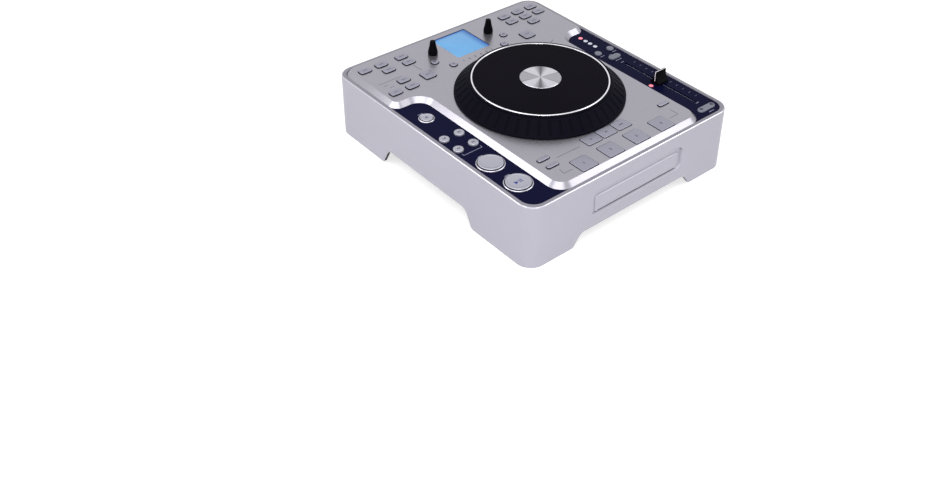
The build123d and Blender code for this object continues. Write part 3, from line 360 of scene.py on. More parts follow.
# dust that settles on faces that look up, thicker in patches of a slow noise
tree, given, result = newGroup(
    "settledDust",
    [("Vector", "NodeSocketVector", (0, 0, 0)), ("Colour", "NodeSocketColor", (0.5, 0.5, 0.5, 1)),
     ("Amount", "NodeSocketFloat", 0.05)],
    [("Colour", "NodeSocketColor")],
)
geometry = addNode(tree, "ShaderNodeNewGeometry")
facing = addNode(tree, "ShaderNodeSeparateXYZ", {0: geometry.outputs["Normal"]}).outputs[2]
specks = addNode(
    tree, "ShaderNodeTexNoise", {"Vector": given["Vector"], "Scale": 900.0, "Detail": 3.0, "Roughness": 0.7}
)
cloud = addNode(tree, "ShaderNodeTexNoise", {"Vector": given["Vector"], "Scale": 30.0, "Detail": 2.0})
dust = mathNode(tree, "MULTIPLY", spread(tree, specks.outputs[0], 0.5, 0.75, 0.0, 1.0), cloud.outputs[0])
dust = mathNode(tree, "MULTIPLY", dust, mathNode(tree, "MAXIMUM", facing, 0.0))
dustShare = mathNode(tree, "MULTIPLY", dust, given["Amount"])
dustTone = (0.55, 0.54, 0.52, 1)
tree.links.new(mixColours(tree, dustShare, given["Colour"], dustTone), result["Colour"])
settledDust = tree


def satinPaint(
    name, tone, metallic, roughness, flake=0.10, drift=0.05, scratch=0.10, specular=0.5, dust=0.05, bump=0.10
):
    material, tree, shader, place = newMaterial(
        name, {"Metallic": metallic, "Specular IOR Level": specular}
    )
    grain = placeGroup(
        tree, paintGrain,
        {"Vector": place, "Colour": tone, "Flake Size": 0.35, "Flake": flake, "Drift": drift},
    )
    wear = placeGroup(tree, handWear, {"Vector": place, "Roughness": roughness, "Scratch": scratch})
    dusty = placeGroup(tree, settledDust, {"Vector": place, "Colour": grain["Colour"], "Amount": dust})
    tree.links.new(dusty["Colour"], shader.inputs["Base Color"])
    tree.links.new(wear["Roughness"], shader.inputs["Roughness"])
    addBump(tree, shader, grain["Height"], bump, 0.02)
    return material


def mouldedPlastic(name, tone, roughness, specular=0.35, grain=0.5, depth=0.04, dust=0.04, flake=0.25):
    material, tree, shader, place = newMaterial(name, {"Specular IOR Level": specular})
    skin = placeGroup(
        tree, paintGrain,
        {"Vector": place, "Colour": tone, "Flake Size": grain, "Flake": flake, "Drift": 0.25},
    )
    wear = placeGroup(
        tree, handWear, {"Vector": place, "Roughness": roughness, "Scratch": 0.16, "Smudge": 0.14}
    )
    dusty = placeGroup(tree, settledDust, {"Vector": place, "Colour": skin["Colour"], "Amount": dust})
    tree.links.new(dusty["Colour"], shader.inputs["Base Color"])
    tree.links.new(wear["Roughness"], shader.inputs["Roughness"])
    addBump(tree, shader, skin["Height"], 0.35, depth)
    return material


def spunMetal(name, tone, centre, roughness, fan, pitch=0.4, metallic=1.0, specular=0.5):
    material, tree, shader, place = newMaterial(name, {"Metallic": metallic, "Specular IOR Level": specular})
    centred = addNode(
        tree, "ShaderNodeVectorMath", {0: place, 1: (centre[0] * mm, centre[1] * mm, 0)}, operation="SUBTRACT"
    )
    faced = addNode(
        tree, "ShaderNodeVectorRotate", {"Vector": centred.outputs[0], "Angle": math.radians(fanTurn)},
        rotation_type="Z_AXIS",
    )
    lines = placeGroup(tree, turnedLinesAndPaintedFan, {"Vector": faced.outputs[0], "Pitch": pitch, **fan})
    # the painted fan of reflected light and dark scales the base colour
    shaded = addNode(tree, "ShaderNodeVectorMath", {0: tone[:3], 3: lines["Light"]}, operation="SCALE")
    wear = placeGroup(
        tree, handWear, {"Vector": place, "Roughness": roughness, "Scratch": 0.12, "Smudge": 0.1}
    )
    ringed = mathNode(tree, "ADD", wear["Roughness"], spread(tree, lines["Rings"], 0.3, 0.7, -0.05, 0.08))
    tree.links.new(shaded.outputs[0], shader.inputs["Base Color"])
    tree.links.new(ringed, shader.inputs["Roughness"])
    addBump(tree, shader, lines["Rings"], 0.25, 0.03)
    return material


jogPlace = (0.0, -17.0)
# the painted fans of reflected light are turned by this angle
fanTurn = 42.5  # degrees, of the fans of light from the sides of the player
silverShell = satinPaint("silver shell paint", colour(179, 177, 189), 0.30, 0.42, dust=0.03)
# a darker copy of the shell paint, put on the rim's top and over the tray recess as painted shade
rimShadePaint = satinPaint("silver rim painted shade", colour(138, 136, 146), 0.55, 0.38, dust=0.03)
silverPanel = satinPaint("silver panel paint", colour(162, 160, 169), 0.85, 0.28, flake=0.09, bump=0.03)
silverKeys = satinPaint("silver key paint", colour(148, 147, 162), 0.60, 0.34, drift=0.03)
brightKeys = satinPaint("grey key plastic", colour(166, 166, 178), 0.45, 0.36, drift=0.03)
dullKeys = satinPaint("dull grey key plastic", colour(116, 118, 132), 0.20, 0.45, drift=0.03)
bezelMetal = satinPaint("bright bezel metal", colour(192, 191, 201), 0.95, 0.30, flake=0.04)
# a brighter copy of the shell paint for the top outer fillet of the walls: a painted highlight
edgeHighlightPaint = satinPaint("painted highlight edge paint", colour(206, 204, 214), 0.80, 0.28, flake=0.05)
# dark paint for the sides of keys and the walls of the panel's key holes: painted shade in the gaps round the
# keys
keyShadeDark = mouldedPlastic("painted shade on key sides", colour(34, 32, 42), 0.5, specular=0.15)
inlayGloss = satinPaint(
    "navy inlay lacquer", colour(12, 13, 44), 0.0, 0.30, flake=0.20, drift=0.20, scratch=0.10,
    specular=0.02, dust=0.006
)
blackWheel = mouldedPlastic("black wheel plastic", colour(13, 12, 22), 0.50, specular=0.02, dust=0.004)
blackGrip = mouldedPlastic("black soft plastic", colour(5, 4, 8), 0.55, specular=0.04, dust=0.004)
darkPlastic = mouldedPlastic("dark tray plastic", colour(34, 34, 38), 0.48, specular=0.2)
# black paint of the base plate, also used as painted shade in the tray slot, on the arch ends, under the door
# and in the screw slots
blackPaintAndShade = mouldedPlastic(
    "black base paint and painted shade", colour(18, 18, 20), 0.55, specular=0.12, grain=0.9, depth=0.08, dust=0.01
)
footRubberAndShadowLine = mouldedPlastic("foot rubber and painted shadow line", colour(20, 20, 21), 0.82, specular=0.1, grain=1.2, depth=0.10)
socketPlastic = mouldedPlastic("socket plastic", colour(24, 24, 26), 0.45, specular=0.2)
whitePlastic = mouldedPlastic("white socket insert", colour(206, 204, 198), 0.4)
redPlastic = mouldedPlastic("red socket insert", colour(168, 30, 34), 0.4)
orangePlastic = mouldedPlastic("orange socket insert", colour(206, 116, 34), 0.4)
# painted fans of reflected light and dark for the plate, the ring and the cap
plateFan = {
    "Back Wedge": 0.2, "Back Width": 0.9, "Front Wedge": 0.2, "Front Width": 0.9,
    "Thin Wedge": 0.0, "Side": 0.0, "Streak": 0.05,
}
ringFan = {
    "Back Wedge": 0.62, "Back Width": 0.95, "Front Wedge": 0.5, "Front Width": 0.32,
    "Thin Wedge": 0.0, "Side": 0.0, "Streak": 0.0,
}
capFan = {
    "Back Wedge": 0.8, "Back Width": 0.42, "Front Wedge": 0.8, "Front Width": 0.42,
    "Thin Wedge": 0.4, "Side": 0.36, "Streak": 0.5,
}
platePolish = spunMetal(
    "black wheel plate", colour(11, 9, 17), jogPlace, 0.40, plateFan, pitch=0.5, metallic=0.0, specular=0.015
)
ringMetal = spunMetal("bright ring metal", colour(238, 237, 243), jogPlace, 0.16, ringFan)
capMetal = spunMetal("spun cap metal", colour(205, 204, 212), jogPlace, 0.24, capFan, pitch=0.35)
nickelMetal = satinPaint("nickel plating", colour(190, 188, 182), 1.0, 0.22, flake=0.03)
steelMetal = satinPaint("zinc plated steel", colour(168, 168, 164), 0.9, 0.35, flake=0.12)
markDark = mouldedPlastic("dark print", colour(62, 62, 82), 0.5, depth=0.01)
markFaint = mouldedPlastic("faint print", colour(92, 92, 110), 0.5, depth=0.01)
markNavy = mouldedPlastic("navy print", colour(52, 58, 128), 0.5, depth=0.01)
markPale = mouldedPlastic("pale print", colour(128, 130, 152), 0.5, depth=0.01)
markWhite = mouldedPlastic("white line paint", colour(225, 225, 228), 0.45, depth=0.01, flake=0.04)


def boardMaterial():
    material, tree, shader, place = newMaterial("green circuit board", {"Roughness": 0.4})
    tracks = addNode(
        tree, "ShaderNodeTexBrick",
        {"Vector": place, "Scale": 220.0, "Mortar Size": 0.012, "Color1": colour(18, 74, 44),
         "Color2": colour(22, 88, 52), "Mortar": colour(60, 120, 70)},
    )
    tree.links.new(tracks.outputs["Color"], shader.inputs["Base Color"])
    addBump(tree, shader, tracks.outputs["Fac"], 0.4, 0.05)
    return material


def displayMaterial(spec):
    material, tree, shader, place = newMaterial(
        "lit display window",
        {"Roughness": 0.30, "Specular IOR Level": 0.15, "Emission Strength": spec["glow"]},
    )
    low, high = spec["low"], spec["high"]
    split = addNode(tree, "ShaderNodeSeparateXYZ", {0: place})
    fromRight = spread(tree, split.outputs[0], (high.x - spec["shade"][0]) * mm, high.x * mm, 0.0, 0.8)
    fromBack = spread(tree, split.outputs[1], (high.y - spec["shade"][1]) * mm, high.y * mm, 0.0, 1.0)
    edge = mathNode(tree, "MAXIMUM", fromRight, fromBack)
    cells = addNode(tree, "ShaderNodeTexChecker", {"Vector": place, "Scale": 1000 / spec["cell"]})
    patches = addNode(tree, "ShaderNodeTexNoise", {"Vector": place, "Scale": 90.0, "Detail": 2.0})
    lit = mixColours(tree, mathNode(tree, "MULTIPLY", patches.outputs[0], 0.35), spec["light"], spec["deep"])
    lit = mixColours(tree, mathNode(tree, "MULTIPLY", cells.outputs["Fac"], 0.05), lit, spec["dark"])
    lit = mixColours(tree, mathNode(tree, "POWER", edge, 1.3), lit, spec["dark"])
    tree.links.new(lit, shader.inputs["Base Color"])
    tree.links.new(lit, shader.inputs["Emission Color"])
    return material


def lampMaterial(name, tone, glow, strength):
    material, tree, shader, place = newMaterial(
        name, {"Roughness": 0.2, "Coat Weight": 0.4, "Emission Strength": strength}
    )
    haze = addNode(tree, "ShaderNodeTexNoise", {"Vector": place, "Scale": 700.0, "Detail": 2.0})
    lit = mixColours(tree, haze.outputs[0], glow, tone)
    tree.links.new(mixColours(tree, 0.3, tone, lit), shader.inputs["Base Color"])
    tree.links.new(lit, shader.inputs["Emission Color"])
    return material


print("materials made")

# housing, base and panel
shellSpec = {
    "rimTop": 84.5, "edgeLow": 82.6, "archTop": 24.5, "frontArch": (78.0, 114.0, 180.0),
    "sideArch": (68.0, 102.0, 159.0), "outer": (162.0, 182.0), "recess": (100.0, 26.0, 72.0),
    "recessFace": -178.0, "slot": (90.0, -183.5, -170.0),
}


def paintFaces(bm, index, wanted):
    for face in bm.faces:
        if wanted(face.calc_center_median(), face.normal):
            face.material_index = index


# the rim's top faces, which take the darker paint as painted shade
def onRim(centre, normal):
    return normal.z > 0.95 and centre.z > shellSpec["rimTop"] - 0.2


# the top outer fillet of the walls, which takes the painted highlight
def onEdge(centre, normal):
    outer = abs(centre.x) > shellSpec["outer"][0] or abs(centre.y) > shellSpec["outer"][1]
    return outer and centre.z > shellSpec["edgeLow"] and 0.45 < normal.z <= 0.88


# the cut ends of the leg arches, painted black as painted shade
def onArchEnd(centre, normal):
    near, far, wall = shellSpec["frontArch"]
    front = abs(centre.y) > wall and near < abs(centre.x) < far and abs(normal.x) > 0.5
    near, far, wall = shellSpec["sideArch"]
    side = abs(centre.x) > wall and near < abs(centre.y) < far and abs(normal.y) > 0.5
    return centre.z < shellSpec["archTop"] and (front or side)


# the downward faces over the tray recess, which take the darker paint as painted shadow
def onRecess(centre, normal):
    half, bottom, top = shellSpec["recess"]
    inside = centre.y < shellSpec["recessFace"] and abs(centre.x) < half and bottom < centre.z < top
    return inside and normal.z < -0.2


# the walls of the tray slot, painted black as painted shade in the gap round the door
def inSlot(centre, normal):
    half, front, back = shellSpec["slot"]
    low, high = shellSpec["recess"][1:]
    inside = front < centre.y < back and abs(centre.x) < half and low < centre.z < high
    return inside and abs(normal.y) < 0.3


bm = copyOf("housing")
bm.normal_update()
# paint on the housing: painted shade on the rim top, over the tray recess, in the tray slot and on the arch
# ends, and a painted highlight on the top outer fillet
paintFaces(bm, 1, onRim)
paintFaces(bm, 1, onRecess)
paintFaces(bm, 3, inSlot)
paintFaces(bm, 2, onEdge)
paintFaces(bm, 3, onArchEnd)
finishPiece(
    bm, "housing_shell", "body_shell", [silverShell, rimShadePaint, edgeHighlightPaint, blackPaintAndShade],
    ["housing"], recalc=False,
)

# where the panel's key holes lie, whose walls are painted dark as painted shade: in front within a half width
# and depth, behind from a depth on
panelSpec = {"narrow": (118.0, 168.0), "wide": (150.0, 60.0)}


# upright faces of the key holes, which take the dark painted shade
def onKeyHole(centre, normal):
    half, front = panelSpec["narrow"]
    inFront = abs(centre.x) < half and abs(centre.y) < front
    half, start = panelSpec["wide"]
    behind = abs(centre.x) < half and centre.y > start
    return abs(normal.z) < 0.2 and (inFront or behind)


bm = copyOf("control_panel")
bm.normal_update()
paintFaces(bm, 1, onKeyHole)
finishPiece(
    bm, "panel_plate", "body_shell", [silverPanel, keyShadeDark], ["control_panel"], recalc=False
)


def dress(node, material):
    mesh = nodes[node].data
    mesh.materials.clear()
    mesh.materials.append(material)


dress("base_plate", blackPaintAndShade)
dress("circuit_boards", boardMaterial())
dress("jog_bearing", steelMetal)
dress("disc_loader", darkPlastic)
print("shell made")

# dark inlays with the bright bezels
bezelSpec = {
    "width": 1.6, "rise": 1.6, "sink": 1.8, "round": 0.55, "slip": 0.4,
    "keys": {"eject_key": 7.8, "cue_key": 15.0, "play_key": 15.0},
}
finishPiece(
    copyOf("side_inlays", lambda low, high: (high - low).y > 60), "inlay_plates", "body_shell", inlayGloss,
    ["side_inlays"], recalc=False,
)
inlayTop = boxOf("side_inlays")[1].z - bezelSpec["rise"]
for key, keyRadius in bezelSpec["keys"].items():
    low, high = boxOf(key)
    middle = ((low.x + high.x) / 2, (low.y + high.y) / 2)
    inner = keyRadius + bezelSpec["slip"]
    outer = inner + bezelSpec["width"]
    foot, crown, curve = inlayTop - bezelSpec["sink"], inlayTop + bezelSpec["rise"], bezelSpec["round"]
    profile = [
        (inner, foot), (inner, crown - curve), (inner + curve, crown), (outer - curve, crown),
        (outer, crown - curve), (outer, foot), (inner, foot),
    ]
    bm = turned(profile, middle, 96)
    finishPiece(bm, key.replace("_key", "_bezel"), "body_shell", bezelMetal, ["side_inlays"])
print("inlays made")

# display window and lamps
windowSpec = {
    "centre": (0.0, 137.5), "size": (53.3, 55.8), "corner": 1.9, "top": 88.8, "thickness": 1.5,
    "edge": 0.2, "shade": (12.0, 5.0), "cell": 1.3, "glow": 0.05,
    "light": colour(120, 176, 222), "deep": colour(88, 148, 212), "dark": colour(16, 66, 168),
}
lampSpec = {
    "radius": 2.9, "foot": 81.6, "top": 83.9, "dome": 0.45, "pip": 1.3,
    "lamps": {
        "lamp_1": (139.8, 55.4, "red"), "lamp_2": (139.8, 45.8, "white"),
        "lamp_3": (139.8, 37.1, "white"), "lamp_4": (139.8, 27.5, "white"),
        "fader_lamp": (125.0, -87.8, "red"),
    },
}
x, y = windowSpec["centre"]
w, d = windowSpec["size"]
windowSpec["low"], windowSpec["high"] = Vector((x - w / 2, y - d / 2, 0)), Vector((x + w / 2, y + d / 2, 0))
bm = bmesh.new()
face = roundedFace(bm, w, d, windowSpec["corner"], (x, y, windowSpec["top"] - windowSpec["thickness"]))
face = raiseFace(bm, face, windowSpec["thickness"])
bevelEdges(bm, face.edges, windowSpec["edge"], 2)
finishPiece(
    bm, "display_window", "body_shell", displayMaterial(windowSpec), ["display_and_lenses"]
)
lampLook = {
    "red": lampMaterial("lit red lamp", colour(236, 70, 96), colour(255, 190, 200), 0.7),
    "white": lampMaterial("pale lamp", colour(196, 198, 214), colour(224, 224, 238), 0.12),
    "pip": markDark,
}
for name, (x, y, look) in lampSpec["lamps"].items():
    radius, top, dome = lampSpec["radius"], lampSpec["top"], lampSpec["dome"]
    profile = [(0, lampSpec["foot"]), (radius, lampSpec["foot"]), (radius, top - dome)]
    profile += [(radius * math.cos(t), top - dome + dome * math.sin(t)) for t in (0.4, 0.8, 1.2)] + [(0, top)]
    bm = turned(profile, (x, y), 32)
    bm.normal_update()
    paintFaces(
        bm, 1,
        lambda centre, normal: math.hypot(centre.x - x, centre.y - y) < lampSpec["pip"] and normal.z > 0,
    )
    finishPiece(
        bm, name, "body_shell", [lampLook[look], lampLook["red" if look == "red" else "pip"]],
        ["display_and_lenses"],
    )
print("display and lamps made")

# keys
keySpec = {
    "flange": {"panel": 1.4, "strip": 1.0}, "flangeHeight": 1.4, "edge": 0.8, "symbolRise": 0.04,
    "digitWeight": 0.035, "groove": (0.25, -0.18), "dishShare": 0.14, "dishSteps": 3,
}
symbolShapes = {
    # closed outlines in millimetres on a key's face, the key's middle at (0, 0)
    "play": [
        [(-5.0, -2.8), (-5.0, 2.8), (0.2, 0.0)],
        [(1.5, -2.8), (2.6, -2.8), (2.6, 2.8), (1.5, 2.8)],
        [(3.9, -2.8), (5.0, -2.8), (5.0, 2.8), (3.9, 2.8)],
    ],
    "eject": [
        [(-2.2, -0.2), (2.2, -0.2), (0.0, 2.3)],
        [(-2.2, -1.6), (2.2, -1.6), (2.2, -0.8), (-2.2, -0.8)],
    ],
    "back": [[(0.0, 0.0), (2.2, -1.6), (2.2, 1.6)], [(-2.2, 0.0), (0.0, -1.6), (0.0, 1.6)]],
    "forward": [[(0.0, 0.0), (-2.2, 1.6), (-2.2, -1.6)], [(2.2, 0.0), (0.0, 1.6), (0.0, -1.6)]],
    "skipBack": [
        [(-1.4, 0.0), (2.0, -1.7), (2.0, 1.7)],
        [(-2.2, -1.7), (-1.6, -1.7), (-1.6, 1.7), (-2.2, 1.7)],
    ],
    "skipForward": [
        [(1.4, 0.0), (-2.0, 1.7), (-2.0, -1.7)],
        [(2.2, 1.7), (1.6, 1.7), (1.6, -1.7), (2.2, -1.7)],
    ],
    "dash": [[(-1.9, -0.7), (1.9, -0.7), (1.9, 0.7), (-1.9, 0.7)]],
    "longDash": [[(-3.2, -0.7), (3.2, -0.7), (3.2, 0.7), (-3.2, 0.7)]],
}


def symbolMesh(symbol, place, rise, size=5.4):
    bm = bmesh.new()
    x, y, z = place
    if symbol.isdigit():
        letters = bpy.data.curves.new("digits", "FONT")
        letters.body, letters.size, letters.align_x, letters.align_y = symbol, size, "CENTER", "CENTER"
        letters.offset = keySpec["digitWeight"] * size
        holder = bpy.data.objects.new("digits", letters)
        flatMesh = holder.to_mesh()
        bm.from_mesh(flatMesh)
        bpy.data.objects.remove(holder)
        bmesh.ops.remove_doubles(bm, verts=bm.verts, dist=0.001)
        bmesh.ops.translate(bm, verts=bm.verts, vec=(x, y, z))
    else:
        for outline in symbolShapes[symbol]:
            bm.faces.new([bm.verts.new((x + px, y + py, z)) for px, py in outline])
    faces = bm.faces[:]
    made = bmesh.ops.extrude_face_region(bm, geom=faces)
    bmesh.ops.translate(
        bm, verts=[v for v in made["geom"] if isinstance(v, bmesh.types.BMVert)], vec=(0, 0, rise)
    )
    return bm


def keyCap(
    name, corner, material, edge=None, symbol=None, symbolMaterial=None, isRound=False, dish=0.0, rim=0.0,
    on="panel",
):
    low, high = boxOf(name)
    flange, flangeHeight = keySpec["flange"][on], keySpec["flangeHeight"]
    x, y = (low.x + high.x) / 2, (low.y + high.y) / 2
    width, depth = high.x - low.x, high.y - low.y
    edge = edge or keySpec["edge"]
    bm = bmesh.new()
    if isRound:
        face = roundFace(bm, width / 2, (x, y, low.z), 72)
    else:
        face = roundedFace(bm, width, depth, corner + flange, (x, y, low.z), 8)
    face = raiseFace(bm, face, flangeHeight)
    insetFace(bm, face, flange)
    face = raiseFace(bm, face, high.z - low.z - flangeHeight)
    top = face.edges[:]
    bevelEdges(bm, top, edge, 4)
    bm.faces.ensure_lookup_table()
    level = [part for part in bm.faces if abs(part.normal.z) > 0.99]
    face = max(level, key=lambda part: (round(part.calc_center_median().z, 3), part.calc_area()))
    if rim:
        insetFace(bm, face, rim)
        insetFace(bm, face, *keySpec["groove"])
    if dish:
        share = keySpec["dishShare"] * (min(width, depth) / 2 - flange - edge - rim)
        for step in range(keySpec["dishSteps"]):
            insetFace(bm, face, share, -dish / keySpec["dishSteps"])
    materials = [material, symbolMaterial or markDark]
    surface = face.calc_center_median().z
    # the key's sides and the low band of its rounded edge are painted dark: painted shade in the gap round
    # the key
    if on == "panel" or rim:
        materials.append(keyShadeDark)
        bm.normal_update()
        paintFaces(bm, 2, lambda centre, normal: abs(normal.z) < 0.35 or centre.z < high.z - edge - 0.3)
    if symbol:
        joinInto(bm, symbolMesh(symbol, (x, y, surface - 0.01), keySpec["symbolRise"]), 1)
    return finishPiece(bm, name + "_cap", name + "_body", materials, [name])


for i in (1, 2, 3, 4, 5, 6, 7, 8):
    keyCap(f"left_key_{i}", 3.6, silverKeys, symbol="longDash", symbolMaterial=markFaint)
for i in (1, 2, 3, 4, 5, 6, 7):
    keyCap(f"right_key_{i}", 3.6, silverKeys, symbol="longDash", symbolMaterial=markFaint)
keyCap("left_big_key", 3.6, silverKeys, symbol="longDash", symbolMaterial=markFaint)
keyCap("right_big_key", 3.6, silverKeys, symbol="longDash", symbolMaterial=markFaint)
for name in ("loop_in_key", "loop_out_key", "reloop_key"):
    keyCap(name, 2.6, silverKeys, edge=1.0)
for i in (1, 2, 3):
    keyCap(f"bank_key_{i}", 1.8, silverKeys, edge=0.6, symbol="longDash" if i == 3 else "dash")
for i in (1, 2, 3, 4):
    keyCap(f"pad_{i}", 1.8, silverKeys, edge=0.6, symbol=str(i))
for i in (1, 2, 3, 4):
    keyCap(f"display_key_{i}", 0, silverKeys, edge=1.0, symbol="dash", isRound=True)
keyCap("eject_key", 0, brightKeys, edge=0.9, symbol="eject", isRound=True, rim=1.6, on="strip")
keyCap("search_back_key", 0, brightKeys, edge=0.9, symbol="back", isRound=True, on="strip")
keyCap("search_forward_key", 0, brightKeys, edge=0.9, symbol="forward", isRound=True, on="strip")
keyCap("track_back_key", 0, brightKeys, edge=0.9, symbol="skipBack", isRound=True, on="strip")
keyCap("track_forward_key", 0, brightKeys, edge=0.9, symbol="skipForward", isRound=True, on="strip")
keyCap("cue_key", 0, brightKeys, edge=1.2, isRound=True, rim=1.0, dish=0.4, on="strip")
keyCap(
    "play_key", 0, brightKeys, edge=1.2, symbol="play", symbolMaterial=markNavy, isRound=True, rim=1.0,
    dish=0.4, on="strip",
)
keyCap("range_key", 0, dullKeys, edge=0.9, isRound=True, on="strip")
keyCap("tempo_key", 0, dullKeys, edge=0.9, isRound=True, on="strip")
keyCap("hold_key", 4.39, dullKeys, edge=0.9, on="strip")
print("keys made")

# printed marks: plain dashes, lines, ticks and numbers
printSpec = {
    "rise": 0.05, "sink": 0.02, "line": 0.8, "dash": 1.2, "numberSize": 5.0,
    "numbers": [(-25.8 + i * 9.4, 99.2, str(i + 1)) for i in range(6)],
    "panelLines": [
        ((-79.6, -133.1), (-44.7, -134.0)), ((-92.6, -151.9), (-94.2, -160.1)),
        ((-94.2, -160.1), (-80.8, -160.3)), ((94.8, -144.8), (95.0, -159.1)),
        ((95.0, -159.1), (80.9, -158.9)), ((-82.9, 131.0), (-81.9, 114.0)),
        ((-145.5, 118.5), (-110.1, 118.5)), ((-142.5, 112.0), (-136.0, 112.0)),
        ((-138.0, 105.0), (-131.5, 105.0)), ((92.8, 63.3), (96.5, 66.3)), ((96.5, 66.3), (101.6, 67.3)),
    ],
    "stripLines": [
        ((-152.7, -57.4), (-125.8, -57.4)), ((-152.7, -57.4), (-152.7, -53.8)),
        ((-125.8, -57.4), (-125.8, -53.8)),
    ],
    "stripDashes": [
        (128.8, 2.9, 7.0), (150.8, 2.9, 7.0), (139.8, -16.2, 11.0), (139.8, -1.0, 5.0), (139.0, -23.8, 5.0),
        (140.3, -151.1, 5.0), (139.8, -174.3, 9.0), (-139.8, 41.5, 7.0), (-139.8, -70.4, 6.0),
        (-139.8, -117.2, 7.0),
    ],
    "ticks": [(151.2, -33.9 - i * 10.51) for i in range(11)], "tick": (3.4, 0.5),
}
panelTop = boxOf("control_panel")[1].z


def barInto(bm, start, end, width, z):
    # a thin printed bar from one point to another
    start, end = Vector(start), Vector(end)
    across = (end - start).orthogonal().normalized() * width / 2
    corners = (start - across, end - across, end + across, start + across)
    face = bm.faces.new([bm.verts.new((x, y, z - printSpec["sink"])) for x, y in corners])
    face.normal_update()
    if face.normal.z < 0:
        face.normal_flip()
    raiseFace(bm, face, printSpec["rise"])


bm = bmesh.new()
for start, end in printSpec["panelLines"]:
    barInto(bm, start, end, printSpec["line"], panelTop)
finishPiece(bm, "panel_prints", "body_shell", markFaint)
bm = bmesh.new()
for x, y, number in printSpec["numbers"]:
    place = (x, y, panelTop - printSpec["sink"])
    joinInto(bm, symbolMesh(number, place, printSpec["rise"], printSpec["numberSize"]))
finishPiece(bm, "panel_numbers", "body_shell", markDark)
bm = bmesh.new()
for start, end in printSpec["stripLines"]:
    barInto(bm, start, end, printSpec["line"], inlayTop)
for x, y, length in printSpec["stripDashes"]:
    barInto(bm, (x - length / 2, y), (x + length / 2, y), printSpec["dash"], inlayTop)
length, width = printSpec["tick"]
for x, y in printSpec["ticks"]:
    barInto(bm, (x - length / 2, y), (x + length / 2, y), width, inlayTop)
finishPiece(bm, "strip_prints", "body_shell", markPale)
print("marks made")

# jog wheel
jogSpec = {
    "capRadius": 25.7, "capRise": 1.4, "plateEdge": 0.4, "plateSteps": 192, "ringSteps": 256, "capSteps": 128,
    "ringInner": 83.2, "ringOuter": 85.38, "ringCrown": 110.3, "ringRound": 1.0, "ringFoot": 106.5,
}
finishPiece(
    copyOf("jog_wheel"), "jog_wheel_body", "jog", blackWheel, ["jog_wheel"],
    recalc=False, angle=40,
)
plateLow, plateHigh = boxOf("jog_top_plate")
plateRadius, plateEdge = (plateHigh.x - plateLow.x) / 2, jogSpec["plateEdge"]
profile = [
    (0, plateLow.z), (plateRadius, plateLow.z), (plateRadius, plateHigh.z - plateEdge),
    (plateRadius - plateEdge, plateHigh.z), (0, plateHigh.z),
]
finishPiece(
    turned(profile, jogPlace, jogSpec["plateSteps"]), "jog_plate", "jog", platePolish,
    ["jog_top_plate"],
)
inner, outer, crown, foot, curve = (
    jogSpec[k] for k in ("ringInner", "ringOuter", "ringCrown", "ringFoot", "ringRound")
)
profile = [(inner, foot), (outer, foot), (outer, crown - curve)]
for step in range(1, 8):
    turn = math.pi * step / 8
    middle, half = (inner + outer) / 2, (outer - inner) / 2
    profile.append((middle + half * math.cos(turn), crown - curve + curve * math.sin(turn)))
profile += [(inner, crown - curve), (inner, foot)]
finishPiece(
    turned(profile, jogPlace, jogSpec["ringSteps"]), "jog_ring", "jog", ringMetal,
    ["jog_trim"], angle=60,
)
capTop, capRadius = plateHigh.z + jogSpec["capRise"], jogSpec["capRadius"]
profile = [
    (0, plateHigh.z), (capRadius, plateHigh.z), (capRadius, plateHigh.z + 0.6),
    (capRadius - 0.3, plateHigh.z + 1.0), (capRadius - 0.9, capTop - 0.05), (capRadius - 1.6, capTop),
    (0, capTop),
]
finishPiece(
    turned(profile, jogPlace, jogSpec["capSteps"]), "jog_cap", "jog", capMetal,
    ["jog_trim"], angle=50,
)
print("jog wheel made")

# knobs, fader cap and bend rocker
faderSpec = {"line": 1.1, "rise": 0.06, "endDrop": 13.0}
rockerSpec = {"dimple": 2.6, "out": 9.35}
knobSteps = 48
knobLine = [  # radius and height above the foot
    (5.6, 0.0), (6.3, 0.7), (6.4, 1.4), (6.4, 3.0), (6.1, 5.2), (5.5, 7.8), (4.8, 10.6), (4.2, 13.6),
    (3.8, 16.8), (3.6, 18.4), (3.2, 19.1), (2.4, 19.3), (0.0, 19.3),
]
for side in ("left", "right"):
    node = f"{side}_knob"
    low, high = boxOf(node)
    foot = high.z - knobLine[-1][1]
    profile = [(0.0, foot)] + [(radius, foot + rise) for radius, rise in knobLine]
    bm = turned(profile, ((low.x + high.x) / 2, (low.y + high.y) / 2), knobSteps)
    finishPiece(bm, node + "_cap", node + "_body", blackGrip, [node], angle=50)
finishPiece(
    copyOf("fader_cap"), "fader_grip", "fader", blackGrip, ["fader_cap"], recalc=False, angle=50
)
low, high = boxOf("fader_cap")
middle, half, rise = (low.y + high.y) / 2, faderSpec["line"] / 2, faderSpec["rise"]
bm = bmesh.new()
bmesh.ops.create_cube(bm, size=1.0)
bmesh.ops.scale(bm, verts=bm.verts, vec=(high.x - low.x, faderSpec["line"], 2 * rise))
bmesh.ops.translate(bm, verts=bm.verts, vec=((low.x + high.x) / 2, middle, high.z))
other = bmesh.new()
bmesh.ops.create_cube(other, size=1.0)
bmesh.ops.scale(other, verts=other.verts, vec=(2 * rise, faderSpec["line"], faderSpec["endDrop"]))
bmesh.ops.translate(other, verts=other.verts, vec=(low.x, middle, high.z - faderSpec["endDrop"] / 2))
joinInto(bm, other)
finishPiece(bm, "fader_line", "fader", markWhite)

low, high = boxOf("bend_rocker")
rockerPlace = ((low.x + high.x) / 2, (low.y + high.y) / 2, high.z)
bm = copyOf("bend_rocker")
bm.normal_update()


